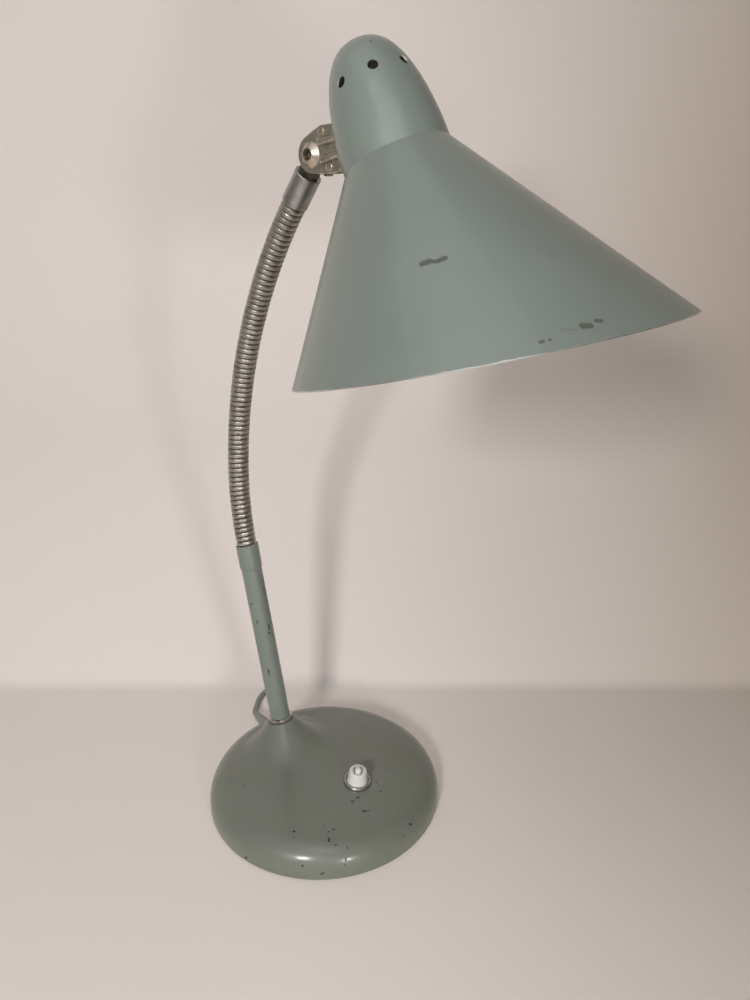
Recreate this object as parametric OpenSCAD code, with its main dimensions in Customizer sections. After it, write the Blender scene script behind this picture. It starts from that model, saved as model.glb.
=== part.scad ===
// Gooseneck desk lamp: a weighted foot, a leaning stem, a wound steel hose and a spun shade
// on a tilt joint. Millimetres. +X is forwards, from the stem to the switch and the shade.
// The origin is the middle of the foot, at the height of the table.

/* [Foot] */
// Diameter of the foot
base_d = 180; // [172:2:200]
// Height of the foot at its middle
base_h = 30; // [28:0.5:34]
// Radius of the foot's rounded edge
edge_r = 18; // [14:0.5:19]
// Height at which the rounded edge starts
side_h = 5; // [4:0.5:6]
// Sheet thickness of the foot's shell
shell_t = 1.2; // [0.8:0.1:1.6]
// Gap between the shell's lower edge and the table
edge_gap = 1; // [0.5:0.1:1.5]
// Radius of the hem rolled into the shell's lower edge
hem_r = 1.4; // [1:0.1:1.8]
// Distance from the middle of the foot back to the stem
stem_back = 48.5; // [44:0.5:52]
// Height of the boss's top, on the stem's axis
boss_h = 46; // [42:0.5:50]
// Diameter of the boss's flat top
boss_top_d = 22; // [20:0.5:26]
// Slope of the boss's side, from the stem's axis
boss_slope = 40; // [34:1:44]

/* [Weight and bottom] */
// Diameter of the cast iron weight
weight_d = 136; // [130:1:140]
// Thickness of the weight's disc
weight_t = 12.6; // [12:0.1:13]
// Thickness of the bottom plate
plate_t = 1.2; // [0.8:0.1:1.6]
// Thickness of the felt pad
felt_t = 2; // [1.5:0.1:3]
// Distance from the foot's rim in to the felt pad's edge
felt_inset = 7; // [5:0.5:14]
// Distance of the plate's screws from the middle
screw_circle_r = 56; // [50:1:60]
// Number of screws in the bottom plate
screw_count = 3; // [3:1:4]

/* [Stem] */
// Backwards lean of the stem
stem_lean = 10.8; // [6:0.2:14]
// Length of the stem above its foot ring
stem_len = 149.4; // [120:0.2:180]
// Outside diameter of the stem
stem_d = 15.8; // [15:0.1:16.4]
// Outside diameter of the socket at the stem's top
socket_d = 17.2; // [17:0.1:19]
// Length of the socket
socket_len = 19; // [16:0.5:26]
// Diameter of the threaded end below the foot ring
thread_d = 10; // [9:0.5:11]
// Diameter of the wire's way through the stem
wire_d = 6.4; // [5:0.2:7]
// Outside diameter of the foot ring
foot_ring_d = 19.6; // [18:0.2:21]
// Thickness of the foot ring
foot_ring_t = 2.8; // [2:0.1:4]
// Width of the stem nut, across its flats
stem_nut_w = 17; // [16:0.5:19]
// Thickness of the stem nut
stem_nut_t = 4; // [3:0.5:5]

/* [Gooseneck] */
// Outside diameter of the wound hose
hose_d = 15.2; // [14.8:0.1:15.6]
// Inside diameter of the hose
hose_bore = 8; // [7:0.2:8.6]
// Distance from one turn of the hose to the next
turn_pitch = 3.75; // [3.4:0.05:4.2]
// Width of the groove between two turns
groove_w = 0.9; // [0.7:0.05:1.1]
// Depth of the groove between two turns
groove_depth = 0.9; // [0.6:0.05:1.1]
// Bevel on the edges of a turn
turn_bevel = 0.6; // [0.3:0.05:0.8]
// Bend of each length in the lower part of the hose
lower_bend = 4.6; // [2:0.1:6]
// Bend of each length in the upper part of the hose
upper_bend = 3.1; // [1:0.1:5]
// Depth of a length's turning point below its lower end
turn_depth = 7; // [6.6:0.1:8]
// Running gap between two lengths of the hose
run_gap = 0.3; // [0.2:0.05:0.4]

/* [Tilt joint] */
// Diameter of the ferrule on the top of the hose
ferrule_d = 16.4; // [16.2:0.1:18]
// Length of the ferrule
ferrule_len = 21; // [19:0.5:26]
// Distance from the ferrule's top to the tilt screw
pivot_reach = 13; // [11.8:0.1:14]
// Radius of the cheeks round the tilt screw
cheek_r = 10.2; // [9.6:0.1:10.6]
// Sheet thickness of a cheek
cheek_t = 2.2; // [1.6:0.1:2.6]
// Height of the dome pressed into a cheek
dome_h = 2.8; // [2:0.1:3.4]
// Turn of the cheeks from a right angle to the shade's axis
cheek_turn = 12; // [8:0.5:14]
// Thickness of the tongue between the cheeks
tongue_t = 5; // [4:0.1:6]
// Radius of the tongue's rounded end
tongue_r = 9; // [8:0.1:9.4]
// Thickness of a friction washer
washer_t = 1; // [0.6:0.1:1.4]
// Diameter of the tilt screw
tilt_screw_d = 4; // [3.6:0.1:5]
// Diameter of the cheeks' rivets
rivet_d = 3; // [2.4:0.1:3.4]

/* [Shade] */
// Length of the shade's crown, from its top to the crease
crown_len = 63.7; // [60:0.5:68]
// Radius of the crown at the crease
crown_r = 30; // [29:0.5:32]
// Fullness of the crown's side
side_power = 1.8; // [1.6:0.05:2.2]
// Fullness of the crown's top
top_power = 2.8; // [2.2:0.1:3.2]
// Half angle of the cone below the crease
cone_angle = 34; // [30:0.5:38]
// Length of the shade along its axis
shade_len = 172.5; // [168:0.5:185]
// Slant of the rim, lower at the front
rim_slant = 11.2; // [6:0.2:13]
// Sheet thickness of the shade
shade_t = 0.9; // [0.7:0.1:1.2]
// Forwards lean of the shade from hanging straight down
shade_lean = 26.4; // [20:0.2:32]
// Distance from the tilt screw to the shade's axis
axis_out = 52; // [51:0.1:54]
// Distance of the tilt screw below the crown's top
pivot_down = 34.8; // [32.4:0.2:37.2]
// Diameter of the vent holes
vent_d = 5.6; // [4:0.2:7]
// Distance of the vent holes below the crown's top
vent_down = 23; // [20:0.5:24]
// Number of vent holes
vent_count = 8; // [6:1:10]

/* [Lampholder and bulb] */
// Outside diameter of the lampholder
holder_d = 36; // [34:0.5:38]
// Length of the lampholder
holder_len = 52; // [48:1:56]
// Distance of the lampholder's top below the crown's top
holder_down = 26.5; // [26:0.5:30]
// Diameter of the lampholder's fixing tube
nipple_d = 10; // [9:0.5:11]
// Diameter of the bulb's screw cap
cap_d = 26; // [25.6:0.1:26.4]
// Length of the bulb's screw cap
cap_len = 24; // [22:0.5:26]
// Diameter of the bulb's glass
bulb_d = 50; // [45:0.5:52]
// Length of the glass below the lampholder
bulb_len = 68; // [60:1:72]

/* [Switch] */
// Distance from the middle of the foot forwards to the switch
switch_front = 35; // [30:0.5:40]
// Diameter of the ring nut
ring_d = 21; // [20:0.2:23]
// Height of the ring nut
ring_h = 2.6; // [2:0.1:3.4]
// Diameter of the white cap at its foot
switch_cap_d = 16.4; // [16:0.2:17.4]
// Diameter of the white cap at its top
switch_top_d = 13; // [12.8:0.1:13.6]
// Height of the white cap
switch_cap_h = 11.5; // [10.5:0.5:12.5]
// Height of the lever's tip above the cap
lever_out = 4; // [3.2:0.2:5]
// Diameter of the lever at the slot
lever_d = 5.2; // [4.4:0.1:5.4]
// Lean of the lever to each side
lever_lean = 6.5; // [5:0.5:7]
// Turn of the lever's slot about the switch's own axis
switch_spin = 130; // [110:5:150]

/* [Cord] */
// Diameter of the cord
cord_d = 5; // [4.6:0.1:5.4]
// Direction in which the cord leaves the foot
cord_angle = 168; // [166:0.5:170]
// Height of the cord at the foot
cord_h = 8; // [7.9:0.1:9]
// Length of the cord's sleeve outside the foot
sleeve_len = 16; // [14:0.5:18]

/* [Hidden] */
$fn = 64;

paint = [0.52, 0.56, 0.52];
dark_paint = [0.42, 0.46, 0.43];
steel = [0.56, 0.55, 0.53];
nickel = [0.66, 0.63, 0.57];
iron = [0.25, 0.25, 0.26];
brass = [0.78, 0.62, 0.30];
bakelite = [0.12, 0.10, 0.09];
white = [0.92, 0.92, 0.90];
flex_grey = [0.60, 0.61, 0.60];

eps = 0.05;                 // overlap where two solids of one piece join
fit = 0.05;                 // radial clearance of a pin in its hole
seat = 0.1;                 // gap between two seated pieces of one body
far = 400;                  // larger than anything that it cuts

// ---- foot ----
base_r = base_d / 2;
plate_z = felt_t;
plate_r = base_r - shell_t - 2 * hem_r - 0.2;
weight_z = plate_z + plate_t;
crown_slack = base_h - edge_r - side_h;
// Depth of the top's centre of curvature below the table
dome_depth = (pow(base_r - edge_r, 2) + pow(side_h, 2) - pow(base_h - edge_r, 2)) / (2 * crown_slack);
dome_r = base_h + dome_depth;
function dome_z(x) = sqrt(dome_r * dome_r - x * x) - dome_depth;
// Radius at which the rounded edge runs into the top
tangent_r = (base_r - edge_r) * dome_r / (dome_r - edge_r);
boss_reach = 26;            // the boss's cone goes this far down, into the dome
boss_base_r = boss_top_d / 2 + boss_reach * tan(boss_slope);
stand_top_r = thread_d / 2 + 3;
stand_len = 33;             // length of the weight's upstand
nut_space_r = stem_nut_w * 0.72;
washer_r = stem_nut_w / 2 + 1;
stem_washer_t = 1.2;
thread_len = stand_len + shell_t + stem_washer_t + stem_nut_t + 1.5;
plate_screw_d = 4;
sleeve_neck_d = 8;
sleeve_cut = 30;            // length of the round cut for the sleeve's neck
sleeve_in = 4;
wire_way_w = 9;
wire_way_h = 8.5;
wire_way_from = 46;

// ---- stem ----
shoulder_len = 2;
socket_bore = hose_d + 2 * fit;
root_len = socket_len - 3;
socket_lip = 0.8;           // the socket ends this far below the hose's first groove

// ---- gooseneck ----
neck_count = 14;
lower_count = 3;
turns_each = 5;
seg_len = turns_each * turn_pitch;
groove_r = hose_d / 2 - groove_depth;
turn_w = turn_pitch - groove_w;
ball_r = sqrt(groove_r * groove_r + turn_depth * turn_depth);
end_bore_r = hose_bore / 2 + 0.3;
core_start = 2.3;           // the curved core starts inside the end turns
neck_x = -stem_back - (foot_ring_t + stem_len) * sin(stem_lean);
neck_z = boss_h + (foot_ring_t + stem_len) * cos(stem_lean);
function seg_bend(k) = k <= lower_count ? lower_bend : upper_bend;
// Angle of the hose from vertical at the upper end of length k
function seg_angle(k) = k == 0 ? -stem_lean : seg_angle(k - 1) + seg_bend(k);
function seg_radius(k) = seg_len / (seg_bend(k) * PI / 180);
// Place of the upper end of length k, as [x, z]
function seg_end(k) = k == 0 ? [neck_x, neck_z] :
    seg_end(k - 1) + seg_radius(k) * [
        cos(seg_angle(k - 1)) - cos(seg_angle(k)),
        sin(seg_angle(k)) - sin(seg_angle(k - 1))];

// ---- tilt joint ----
neck_top = seg_end(neck_count);
top_angle = seg_angle(neck_count);
pivot_up = ferrule_len + pivot_reach;
pivot_x = neck_top[0] + pivot_up * sin(top_angle);
pivot_z = neck_top[1] + pivot_up * cos(top_angle);
stub_len = 9;
cheek_in = tongue_t / 2 + run_gap + washer_t;
cheek_out = cheek_in + cheek_t;
slot_depth = 6;
ferrule_edge = 0.4;
tongue_half_w = ferrule_d / 2 - 2.2;
dome_r1 = cheek_r - 3.1;
dome_r2 = 3.6;
rivet_at = [[11.4, 9.6], [12.7, -10]];
top_corner_r = 3.2;
bottom_corner = [16.5, -12.6];
bottom_corner_r = 1.6;
// Corners of the cheeks' far end, inside the shade's crown, which cuts them off
end_corners = [[28, 8.6], [28, -9]];
end_corner_r = 1.2;
rib_at = [[[9, 4.3], [25, 3.2]], [[9, -5.3], [25, -5.1]]];
rib_r = 1.95;
rib_sink = 0.1;             // a rib's middle lies this far below the cheek's outer face
rivet_head_r = 2.2;
rivet_head_h = 1.1;

// ---- shade ----
inner_r = crown_r - shade_t;
inner_len = crown_len - shade_t;
crown_steps = 22;
past_rim = 60;              // the cone is drawn this much past its rim, and then cut off aslant
cone_end = shade_len + past_rim;
// Radius of a crown of length len and foot radius r, at distance t below its top
function crown_radius(t, len, r) = r * pow(1 - pow((len - t) / len, side_power), 1 / top_power);
function crown_t(i, len) = len * pow(i / crown_steps, 2.4);
function crown_points(len, r, drop) = [
    for (i = [0 : crown_steps]) [crown_radius(crown_t(i, len), len, r), -drop - crown_t(i, len)]];
function cone_point(r) = [r + (cone_end - crown_len) * tan(cone_angle), -cone_end];
bracket_t = 1.6;
bracket_w = 15;
lug_screw_z = [2, -11];
lug_screw_d = 3.4;
lug_screw_from = 18.8;
lug_head_gap = 1.1;         // keeps a flat head clear of the curved arm
lug_head_t = 2;
lug_from = tongue_r + 0.4;
// Outline of the lug, from its near top corner; its low edge shows under the cheeks
lug_outline = [[lug_from, 12.2], [29, 8.2], [29, -14.4], [15, -13.2], [lug_from, -11]];

// ---- lampholder ----
nipple_len = 9;
cap_part = 17;              // length of the lampholder's upper half
holder_wall = 2.2;
thread_shell_t = 0.6;
thread_shell_len = 24;
bulb_gap = 0.3;
cap_down = holder_down + holder_len - cap_len - 3;

// ---- switch ----
switch_turn = asin(switch_front / dome_r);
collar_d = switch_cap_d - 0.6;
lever_pivot_z = -3;
switch_housing_d = 21;
switch_housing_h = 16;
lever_len = switch_cap_h + lever_out - lever_pivot_z;
slot_half = (switch_cap_h - lever_pivot_z) * tan(lever_lean) + lever_d / 2 / cos(lever_lean) + 0.4;
slot_w = lever_d + 1.8;
lever_tip_r = lever_d / 2 + 0.1;
lever_ball_r = 3.2;
lever_foot_len = 6;

// ---- cord ----
exit_dir = [cos(cord_angle), sin(cord_angle)];
coil_turn_r = 30;           // radius at the middle of the coil's turns
coil_half = 2 * cord_d;     // four turns side by side
coil_layers = 2;
coil_at = [-176, 106];
coil_off = 130;             // where the cord leaves the coil
plug_turn = coil_off + 90;
coil_lane = coil_turn_r + coil_half - cord_d / 2;
coil_end = coil_at + coil_lane * [cos(coil_off), sin(coil_off)];
tail_len = 26;
plug_at = coil_end + tail_len * [cos(plug_turn), sin(plug_turn)];
relief_len = 20;
plug_len = 34;
plug_w = 26;
plug_h = 13.6;
pin_d = 4;
pin_len = 19;
pin_spread = 18.6;
// The cord's way over the table, from inside the foot to the coil
cord_route = [
    [-62, 13.2, 8], [-80, 17, 8], [-92, 19.6, 8], [-104, 22.1, 8], [-111, 25.2, 6.4], [-117, 31, 3.9],
    [-122, 37, 2.6], [-126.5, 43, 2.5], [-130, 50, 2.5], [-132, 58, 2.5], [-133, 66, 2.5],
    [-134, 76, 2.5], [-135.3, 88, 2.5], [-137, 100, 2.5], [-138.9, 111.2, 2.5]];
coil_out = [cos(plug_turn), sin(plug_turn)];
tail_step = (tail_len + 1) / 3;
tail_route = [
    for (i = [0 : 3])
        [coil_end[0] + tail_step * i * coil_out[0], coil_end[1] + tail_step * i * coil_out[1], 7.5 - 0.23 * i]];

// ---- helpers ----
module on_stem(s) {
    translate([-stem_back, 0, boss_h])
        rotate([0, -stem_lean, 0])
            translate([0, 0, s])
                children();
}

module on_segment(k) {
    translate([seg_end(k - 1)[0], 0, seg_end(k - 1)[1]])
        rotate([0, seg_angle(k - 1), 0])
            children();
}

module on_neck_top() {
    translate([neck_top[0], 0, neck_top[1]])
        rotate([0, top_angle, 0])
            children();
}

// The shade's own frame: the origin on the tilt screw, +Z up along the shade's axis
module on_pivot() {
    translate([pivot_x, 0, pivot_z])
        rotate([0, -shade_lean, 0])
            children();
}

// The shade's axis, with the origin at the crown's top
module on_axis() {
    on_pivot()
        translate([axis_out, 0, pivot_down])
            children();
}

module on_cheek() {
    on_pivot()
        rotate([0, cheek_turn, 0])
            children();
}

module on_switch() {
    translate([switch_front, 0, dome_z(switch_front)])
        rotate([0, switch_turn, 0])
            rotate([0, 0, switch_spin])
                children();
}

module on_exit() {
    rotate([0, 0, cord_angle])
        translate([base_r, 0, cord_h])
            rotate([0, 90, 0])
                children();
}

// A tube of n sides swept along a list of points
module swept_tube(path, r, n) {
    last = len(path) - 1;
    function heading(i) =
        let (d = path[min(i + 1, last)] - path[max(i - 1, 0)])
        d / norm(d);
    function ring(i) =
        let (t = heading(i),
             u = cross(t, [0, 0, 1]) / norm(cross(t, [0, 0, 1])),
             v = cross(u, t))
        [for (j = [0 : n - 1])
            path[i] + r * (cos((j + 0.5) * 360 / n) * u + sin((j + 0.5) * 360 / n) * v)];
    points = [for (i = [0 : last]) each ring(i)];
    sides = [for (i = [0 : last - 1]) for (j = [0 : n - 1])
        [i * n + j, i * n + (j + 1) % n, (i + 1) * n + (j + 1) % n, (i + 1) * n + j]];
    first_cap = [for (j = [0 : n - 1]) n - 1 - j];
    last_cap = [for (j = [0 : n - 1]) last * n + j];
    polyhedron(points, concat([first_cap], sides, [last_cap]), convexity = 6);
}

// ---- foot ----
module dome_half(shrink, low) {
    r = base_r - shrink;
    round_r = edge_r - shrink;
    intersection() {
        union() {
            translate([0, low])
                square([r, side_h - low]);
            translate([0, low])
                square([tangent_r, base_h + 1]);
            translate([base_r - edge_r, side_h])
                circle(round_r);
        }
        translate([0, -dome_depth])
            circle(dome_r - shrink, $fn = 720);
        translate([0, low])
            square([base_r, base_h + 1]);
    }
}

module dome_solid(shrink, low) {
    rotate_extrude($fn = 180)
        dome_half(shrink, low);
}

module boss_cone(shrink) {
    side = shrink / cos(boss_slope);
    top = shrink;
    on_stem(-boss_reach)
        rotate([0, 0, 180])
            cylinder(h = boss_reach - top, r1 = boss_base_r - side,
                     r2 = boss_top_d / 2 - side + top * tan(boss_slope));
}

module base_shell() {
    color(paint)
        difference() {
            union() {
                dome_solid(0, edge_gap);
                boss_cone(0);
            }
            dome_solid(shell_t, -1);
            boss_cone(shell_t);
            on_stem(-boss_reach)
                cylinder(h = boss_reach + 5, d = thread_d + 2 * fit);
            on_switch()
                translate([0, 0, -10])
                    cylinder(h = 20, d = collar_d + 2 * fit);
            on_exit()
                translate([0, 0, -sleeve_cut / 2])
                    cylinder(h = sleeve_cut, d = sleeve_neck_d + 2 * fit);
        }
    color(paint)
        rotate_extrude($fn = 180)
            translate([base_r - shell_t - hem_r + eps, edge_gap + hem_r])
                circle(hem_r, $fn = 32);
}

module base_weight() {
    color(iron)
        difference() {
            union() {
                translate([0, 0, weight_z])
                    cylinder(h = weight_t, d = weight_d);
                on_stem(-shell_t - stand_len)
                    rotate([0, 0, 180])
                        cylinder(h = stand_len - seat, r1 = stand_top_r + 8, r2 = stand_top_r);
            }
            on_stem(-far / 2)
                cylinder(h = far, d = thread_d + 2 * fit);
            on_stem(-shell_t - stand_len - far)
                cylinder(h = far, r = nut_space_r);
            translate([switch_front, 0, weight_z - 1])
                cylinder(h = weight_t + 2, d = switch_housing_d + 7);
            rotate([0, 0, cord_angle])
                translate([wire_way_from, -wire_way_w / 2, weight_z - 1])
                    cube([base_r, wire_way_w, wire_way_h + 1]);
            translate([-stem_back + 14, -wire_way_w / 2, weight_z - 2])
                cube([stem_back + switch_front - 14, wire_way_w, wire_way_h]);
            for (i = [0 : screw_count - 1])
                rotate([0, 0, i * 360 / screw_count])
                    translate([screw_circle_r, 0, weight_z - 1])
                        cylinder(h = 9, d = plate_screw_d + 2 * fit);
        }
}

module bottom_plate() {
    color(steel)
        difference() {
            translate([0, 0, plate_z])
                cylinder(h = plate_t, r = plate_r, $fn = 120);
            for (i = [0 : screw_count - 1])
                rotate([0, 0, i * 360 / screw_count])
                    translate([screw_circle_r, 0, plate_z - 1])
                        cylinder(h = plate_t + 2, d = plate_screw_d + 2 * fit);
        }
}

module felt_pad() {
    color(dark_paint)
        difference() {
            cylinder(h = felt_t, r = base_r - felt_inset, $fn = 120);
            for (i = [0 : screw_count - 1])
                rotate([0, 0, i * 360 / screw_count])
                    translate([screw_circle_r, 0, -1])
                        cylinder(h = felt_t + 2, d = 2 * plate_screw_d + 2);
        }
}

module plate_screws() {
    head_h = 1.4;
    color(steel)
        for (i = [0 : screw_count - 1])
            rotate([0, 0, i * 360 / screw_count])
                translate([screw_circle_r, 0, plate_z])
                    difference() {
                        union() {
                            translate([0, 0, -head_h])
                                cylinder(h = head_h, d = 2 * plate_screw_d);
                            translate([0, 0, -eps])
                                cylinder(h = plate_t + 7, d = plate_screw_d);
                        }
                        translate([-far / 2, -0.5, -head_h - 1])
                            cube([far, 1, 1.7]);
                    }
}

module cord_sleeve() {
    flange_h = sleeve_in + shell_t + seat;
    color(flex_grey)
        rotate([0, 0, cord_angle])
            translate([base_r - shell_t - sleeve_in, 0, cord_h])
                rotate([0, 90, 0])
                    rotate_extrude()
                        polygon([
                            [cord_d / 2 + fit, 0], [sleeve_neck_d / 2, 0], [sleeve_neck_d / 2, flange_h],
                            [5, flange_h], [5, flange_h + 1.6], [4.4, flange_h + 2.4],
                            [cord_d / 2 + 0.7, flange_h + sleeve_len],
                            [cord_d / 2 + fit, flange_h + sleeve_len]]);
}

// ---- stem ----
module foot_ring() {
    round = 0.8;
    color(nickel)
        on_stem(seat)
            rotate_extrude()
                difference() {
                    union() {
                        translate([thread_d / 2 + fit, 0])
                            square([foot_ring_d / 2 - thread_d / 2 - fit - round, foot_ring_t - seat]);
                        translate([thread_d / 2 + fit, round])
                            square([foot_ring_d / 2 - thread_d / 2 - fit, foot_ring_t - seat - 2 * round]);
                        for (z = [round, foot_ring_t - seat - round])
                            translate([foot_ring_d / 2 - round, z])
                                circle(round, $fn = 32);
                    }
                }
}

module stem_tube() {
    color(paint)
        on_stem(foot_ring_t)
            rotate_extrude()
                polygon([
                    [wire_d / 2, -foot_ring_t - thread_len], [thread_d / 2, -foot_ring_t - thread_len],
                    [thread_d / 2, 0], [stem_d / 2, 0],
                    [stem_d / 2, stem_len - socket_len - shoulder_len],
                    [socket_d / 2, stem_len - socket_len],
                    [socket_d / 2, stem_len - socket_lip - 0.5],
                    [socket_d / 2 - 0.5, stem_len - socket_lip],
                    [socket_bore / 2, stem_len - socket_lip],
                    [socket_bore / 2, stem_len - root_len - seat],
                    [wire_d / 2, stem_len - root_len - seat]]);
}

module stem_washer() {
    color(steel)
        on_stem(-shell_t - stand_len - seat - stem_washer_t)
            difference() {
                cylinder(h = stem_washer_t, r = washer_r);
                translate([0, 0, -1])
                    cylinder(h = stem_washer_t + 2, d = thread_d + 2 * fit);
            }
}

module stem_nut() {
    color(steel)
        on_stem(-shell_t - stand_len - 2 * seat - stem_washer_t - stem_nut_t)
            difference() {
                cylinder(h = stem_nut_t, d = stem_nut_w / cos(30), $fn = 6);
                translate([0, 0, -1])
                    cylinder(h = stem_nut_t + 2, d = thread_d + 2 * fit);
            }
}

// ---- gooseneck ----
// The outline of one turn of the hose, with its middle at z = 0
module turn_outline(inside_r) {
    polygon([
        [inside_r, -turn_w / 2], [hose_d / 2 - turn_bevel, -turn_w / 2],
        [hose_d / 2, -turn_w / 2 + turn_bevel], [hose_d / 2, turn_w / 2 - turn_bevel],
        [hose_d / 2 - turn_bevel, turn_w / 2], [inside_r, turn_w / 2]]);
}

module turn() {
    rotate_extrude()
        turn_outline(groove_r - 1);
}

module ball_outline() {
    intersection() {
        translate([end_bore_r, -groove_w / 2 - eps])
            square([groove_r - end_bore_r, turn_depth]);
        translate([0, -turn_depth])
            circle(ball_r - run_gap / 2, $fn = 180);
    }
}

// The upper end of a length: a turn and a ball face that the next length turns on
module ball_end() {
    rotate_extrude() {
        translate([0, -turn_pitch / 2])
            turn_outline(end_bore_r);
        ball_outline();
    }
}

// The lower end of a length: a turn and a hollow face round the ball of the length below
module socket_end() {
    rotate_extrude()
        difference() {
            union() {
                translate([end_bore_r, 0])
                    square([groove_r - end_bore_r, turn_pitch / 2]);
                translate([0, turn_pitch / 2])
                    turn_outline(end_bore_r);
            }
            translate([0, -turn_depth])
                circle(ball_r + run_gap / 2, $fn = 180);
        }
}

// Places a piece at distance s along a length that bends by bend over its whole length
module along(s, bend) {
    r = seg_len / (bend * PI / 180);
    translate([r, 0, 0])
        rotate([0, bend * s / seg_len, 0])
            translate([-r, 0, 0])
                children();
}

// The hose between the two ends of a length, with its turns up to number last
module hose_middle(bend, last) {
    r = seg_len / (bend * PI / 180);
    core_turn = bend * (seg_len - 2 * core_start) / seg_len;
    for (i = [1 : last])
        along((i + 0.5) * turn_pitch, bend)
            turn();
    along(core_start, bend)
        translate([r, 0, 0])
            rotate([90, 0, 180])
                rotate_extrude(angle = core_turn, $fn = 720)
                    translate([r, 0])
                        difference() {
                            circle(groove_r);
                            circle(hose_bore / 2);
                        }
}

module neck_segment(k) {
    color(steel)
        on_segment(k) {
            socket_end();
            along(seg_len, seg_bend(k))
                ball_end();
            hose_middle(seg_bend(k), turns_each - 2);
        }
}

module hose_root() {
    color(steel)
        on_stem(foot_ring_t + stem_len)
            rotate_extrude() {
                ball_outline();
                translate([end_bore_r, -root_len])
                    square([hose_d / 2 - end_bore_r, root_len - groove_w / 2]);
            }
}

// ---- tilt joint ----
module top_ferrule() {
    color(steel)
        on_neck_top()
            difference() {
                rotate_extrude()
                    polygon([
                        [hose_d / 2 + fit, groove_w / 2],
                        [ferrule_d / 2 - ferrule_edge, groove_w / 2],
                        [ferrule_d / 2, groove_w / 2 + ferrule_edge],
                        [ferrule_d / 2, ferrule_len - ferrule_edge],
                        [ferrule_d / 2 - ferrule_edge, ferrule_len], [wire_d / 2, ferrule_len],
                        [wire_d / 2, stub_len + seat], [hose_d / 2 + fit, stub_len + seat]]);
                translate([-tongue_half_w - fit, -tongue_t / 2 - fit, ferrule_len - slot_depth])
                    cube([2 * (tongue_half_w + fit), tongue_t + 2 * fit, slot_depth + 1]);
            }
}

// The last length carries the hose's end, which sits in the ferrule
module last_segment(k) {
    color(steel) {
        on_segment(k) {
            socket_end();
            hose_middle(seg_bend(k), turns_each - 2);
        }
        on_neck_top()
            rotate_extrude() {
                translate([0, -turn_pitch / 2])
                    turn_outline(end_bore_r);
                translate([end_bore_r, -turn_pitch / 2])
                    square([groove_r - end_bore_r, turn_pitch]);
                translate([end_bore_r, groove_w / 2])
                    square([hose_d / 2 - end_bore_r, stub_len - groove_w / 2]);
            }
    }
}

module joint_tongue() {
    color(nickel)
        on_neck_top()
            translate([0, 0, pivot_up])
                rotate([90, 0, 0])
                    translate([0, 0, -tongue_t / 2])
                        difference() {
                            union() {
                                cylinder(h = tongue_t, r = tongue_r);
                                translate([-tongue_half_w, -pivot_reach - slot_depth + seat, 0])
                                    cube([2 * tongue_half_w, pivot_reach + slot_depth, tongue_t]);
                            }
                            translate([0, 0, -1])
                                cylinder(h = tongue_t + 2, d = tilt_screw_d + 2 * fit);
                        }
}

// The outside of the shade, grown by gap, to cut what sits against it
module crown_outside(gap) {
    on_axis()
        rotate_extrude()
            polygon(concat(
                crown_points(crown_len + gap, crown_r + gap, -gap),
                [cone_point(crown_r + gap), [0, -cone_end]]));
}

module cheek_plate() {
    hull() {
        circle(cheek_r);
        translate(rivet_at[0])
            circle(top_corner_r, $fn = 32);
        translate(bottom_corner)
            circle(bottom_corner_r, $fn = 32);
        for (corner = end_corners)
            translate(corner)
                circle(end_corner_r, $fn = 32);
    }
}

// One cheek, on its outer side towards +Z of its own frame
module cheek(flip) {
    color(nickel)
        difference() {
            on_cheek()
                rotate([90, 0, 0])
                    mirror([0, 0, flip])
                        difference() {
                            union() {
                                translate([0, 0, cheek_in])
                                    linear_extrude(cheek_t)
                                        cheek_plate();
                                translate([0, 0, cheek_out - eps])
                                    cylinder(h = dome_h, r1 = dome_r1, r2 = dome_r2);
                                for (rib = rib_at)
                                    cheek_rib(rib);
                            }
                            translate([0, 0, cheek_in - 1])
                                cylinder(h = cheek_t + dome_h + 2, d = tilt_screw_d + 2 * fit);
                            translate([0, 0, cheek_out + 0.4])
                                cylinder(h = dome_h, d = 5.6);
                            for (at = rivet_at)
                                translate([at[0], at[1], cheek_in - 1])
                                    cylinder(h = cheek_t + 4, d = rivet_d + 2 * fit);
                        }
            crown_outside(seat);
        }
}

module cheek_rib(rib) {
    run = rib[1] - rib[0];
    translate([rib[0][0], rib[0][1], cheek_out - rib_sink])
        rotate([0, 0, atan2(run[1], run[0])]) {
            rotate([0, 90, 0])
                cylinder(h = norm(run), r = rib_r, $fn = 32);
            sphere(rib_r, $fn = 32);
        }
}

module left_cheek() {
    cheek(1);
}

module right_cheek() {
    cheek(0);
}

module tilt_screw() {
    head_r = tilt_screw_d * 0.68;
    color(steel)
        on_pivot()
            rotate([90, 0, 0])
                difference() {
                    union() {
                        translate([0, 0, -cheek_out - 0.4 - seat])
                            cylinder(h = 2 * cheek_out + 0.8, d = tilt_screw_d);
                        translate([0, 0, -cheek_out - 0.4 - seat - 1.8])
                            cylinder(h = 1.8, r = head_r);
                    }
                    translate([-far / 2, -0.5, -cheek_out - 0.4 - seat - 1.8 - 1])
                        cube([far, 1, 1.8]);
                }
}

module friction_washers() {
    color(steel)
        on_pivot()
            for (side = [-1, 1])
                rotate([90 * side, 0, 0])
                    translate([0, 0, cheek_in - washer_t])
                        difference() {
                            cylinder(h = washer_t - eps, r = tongue_r - 1);
                            translate([0, 0, -1])
                                cylinder(h = washer_t + 2, d = tilt_screw_d + 2 * fit);
                        }
}

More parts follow.
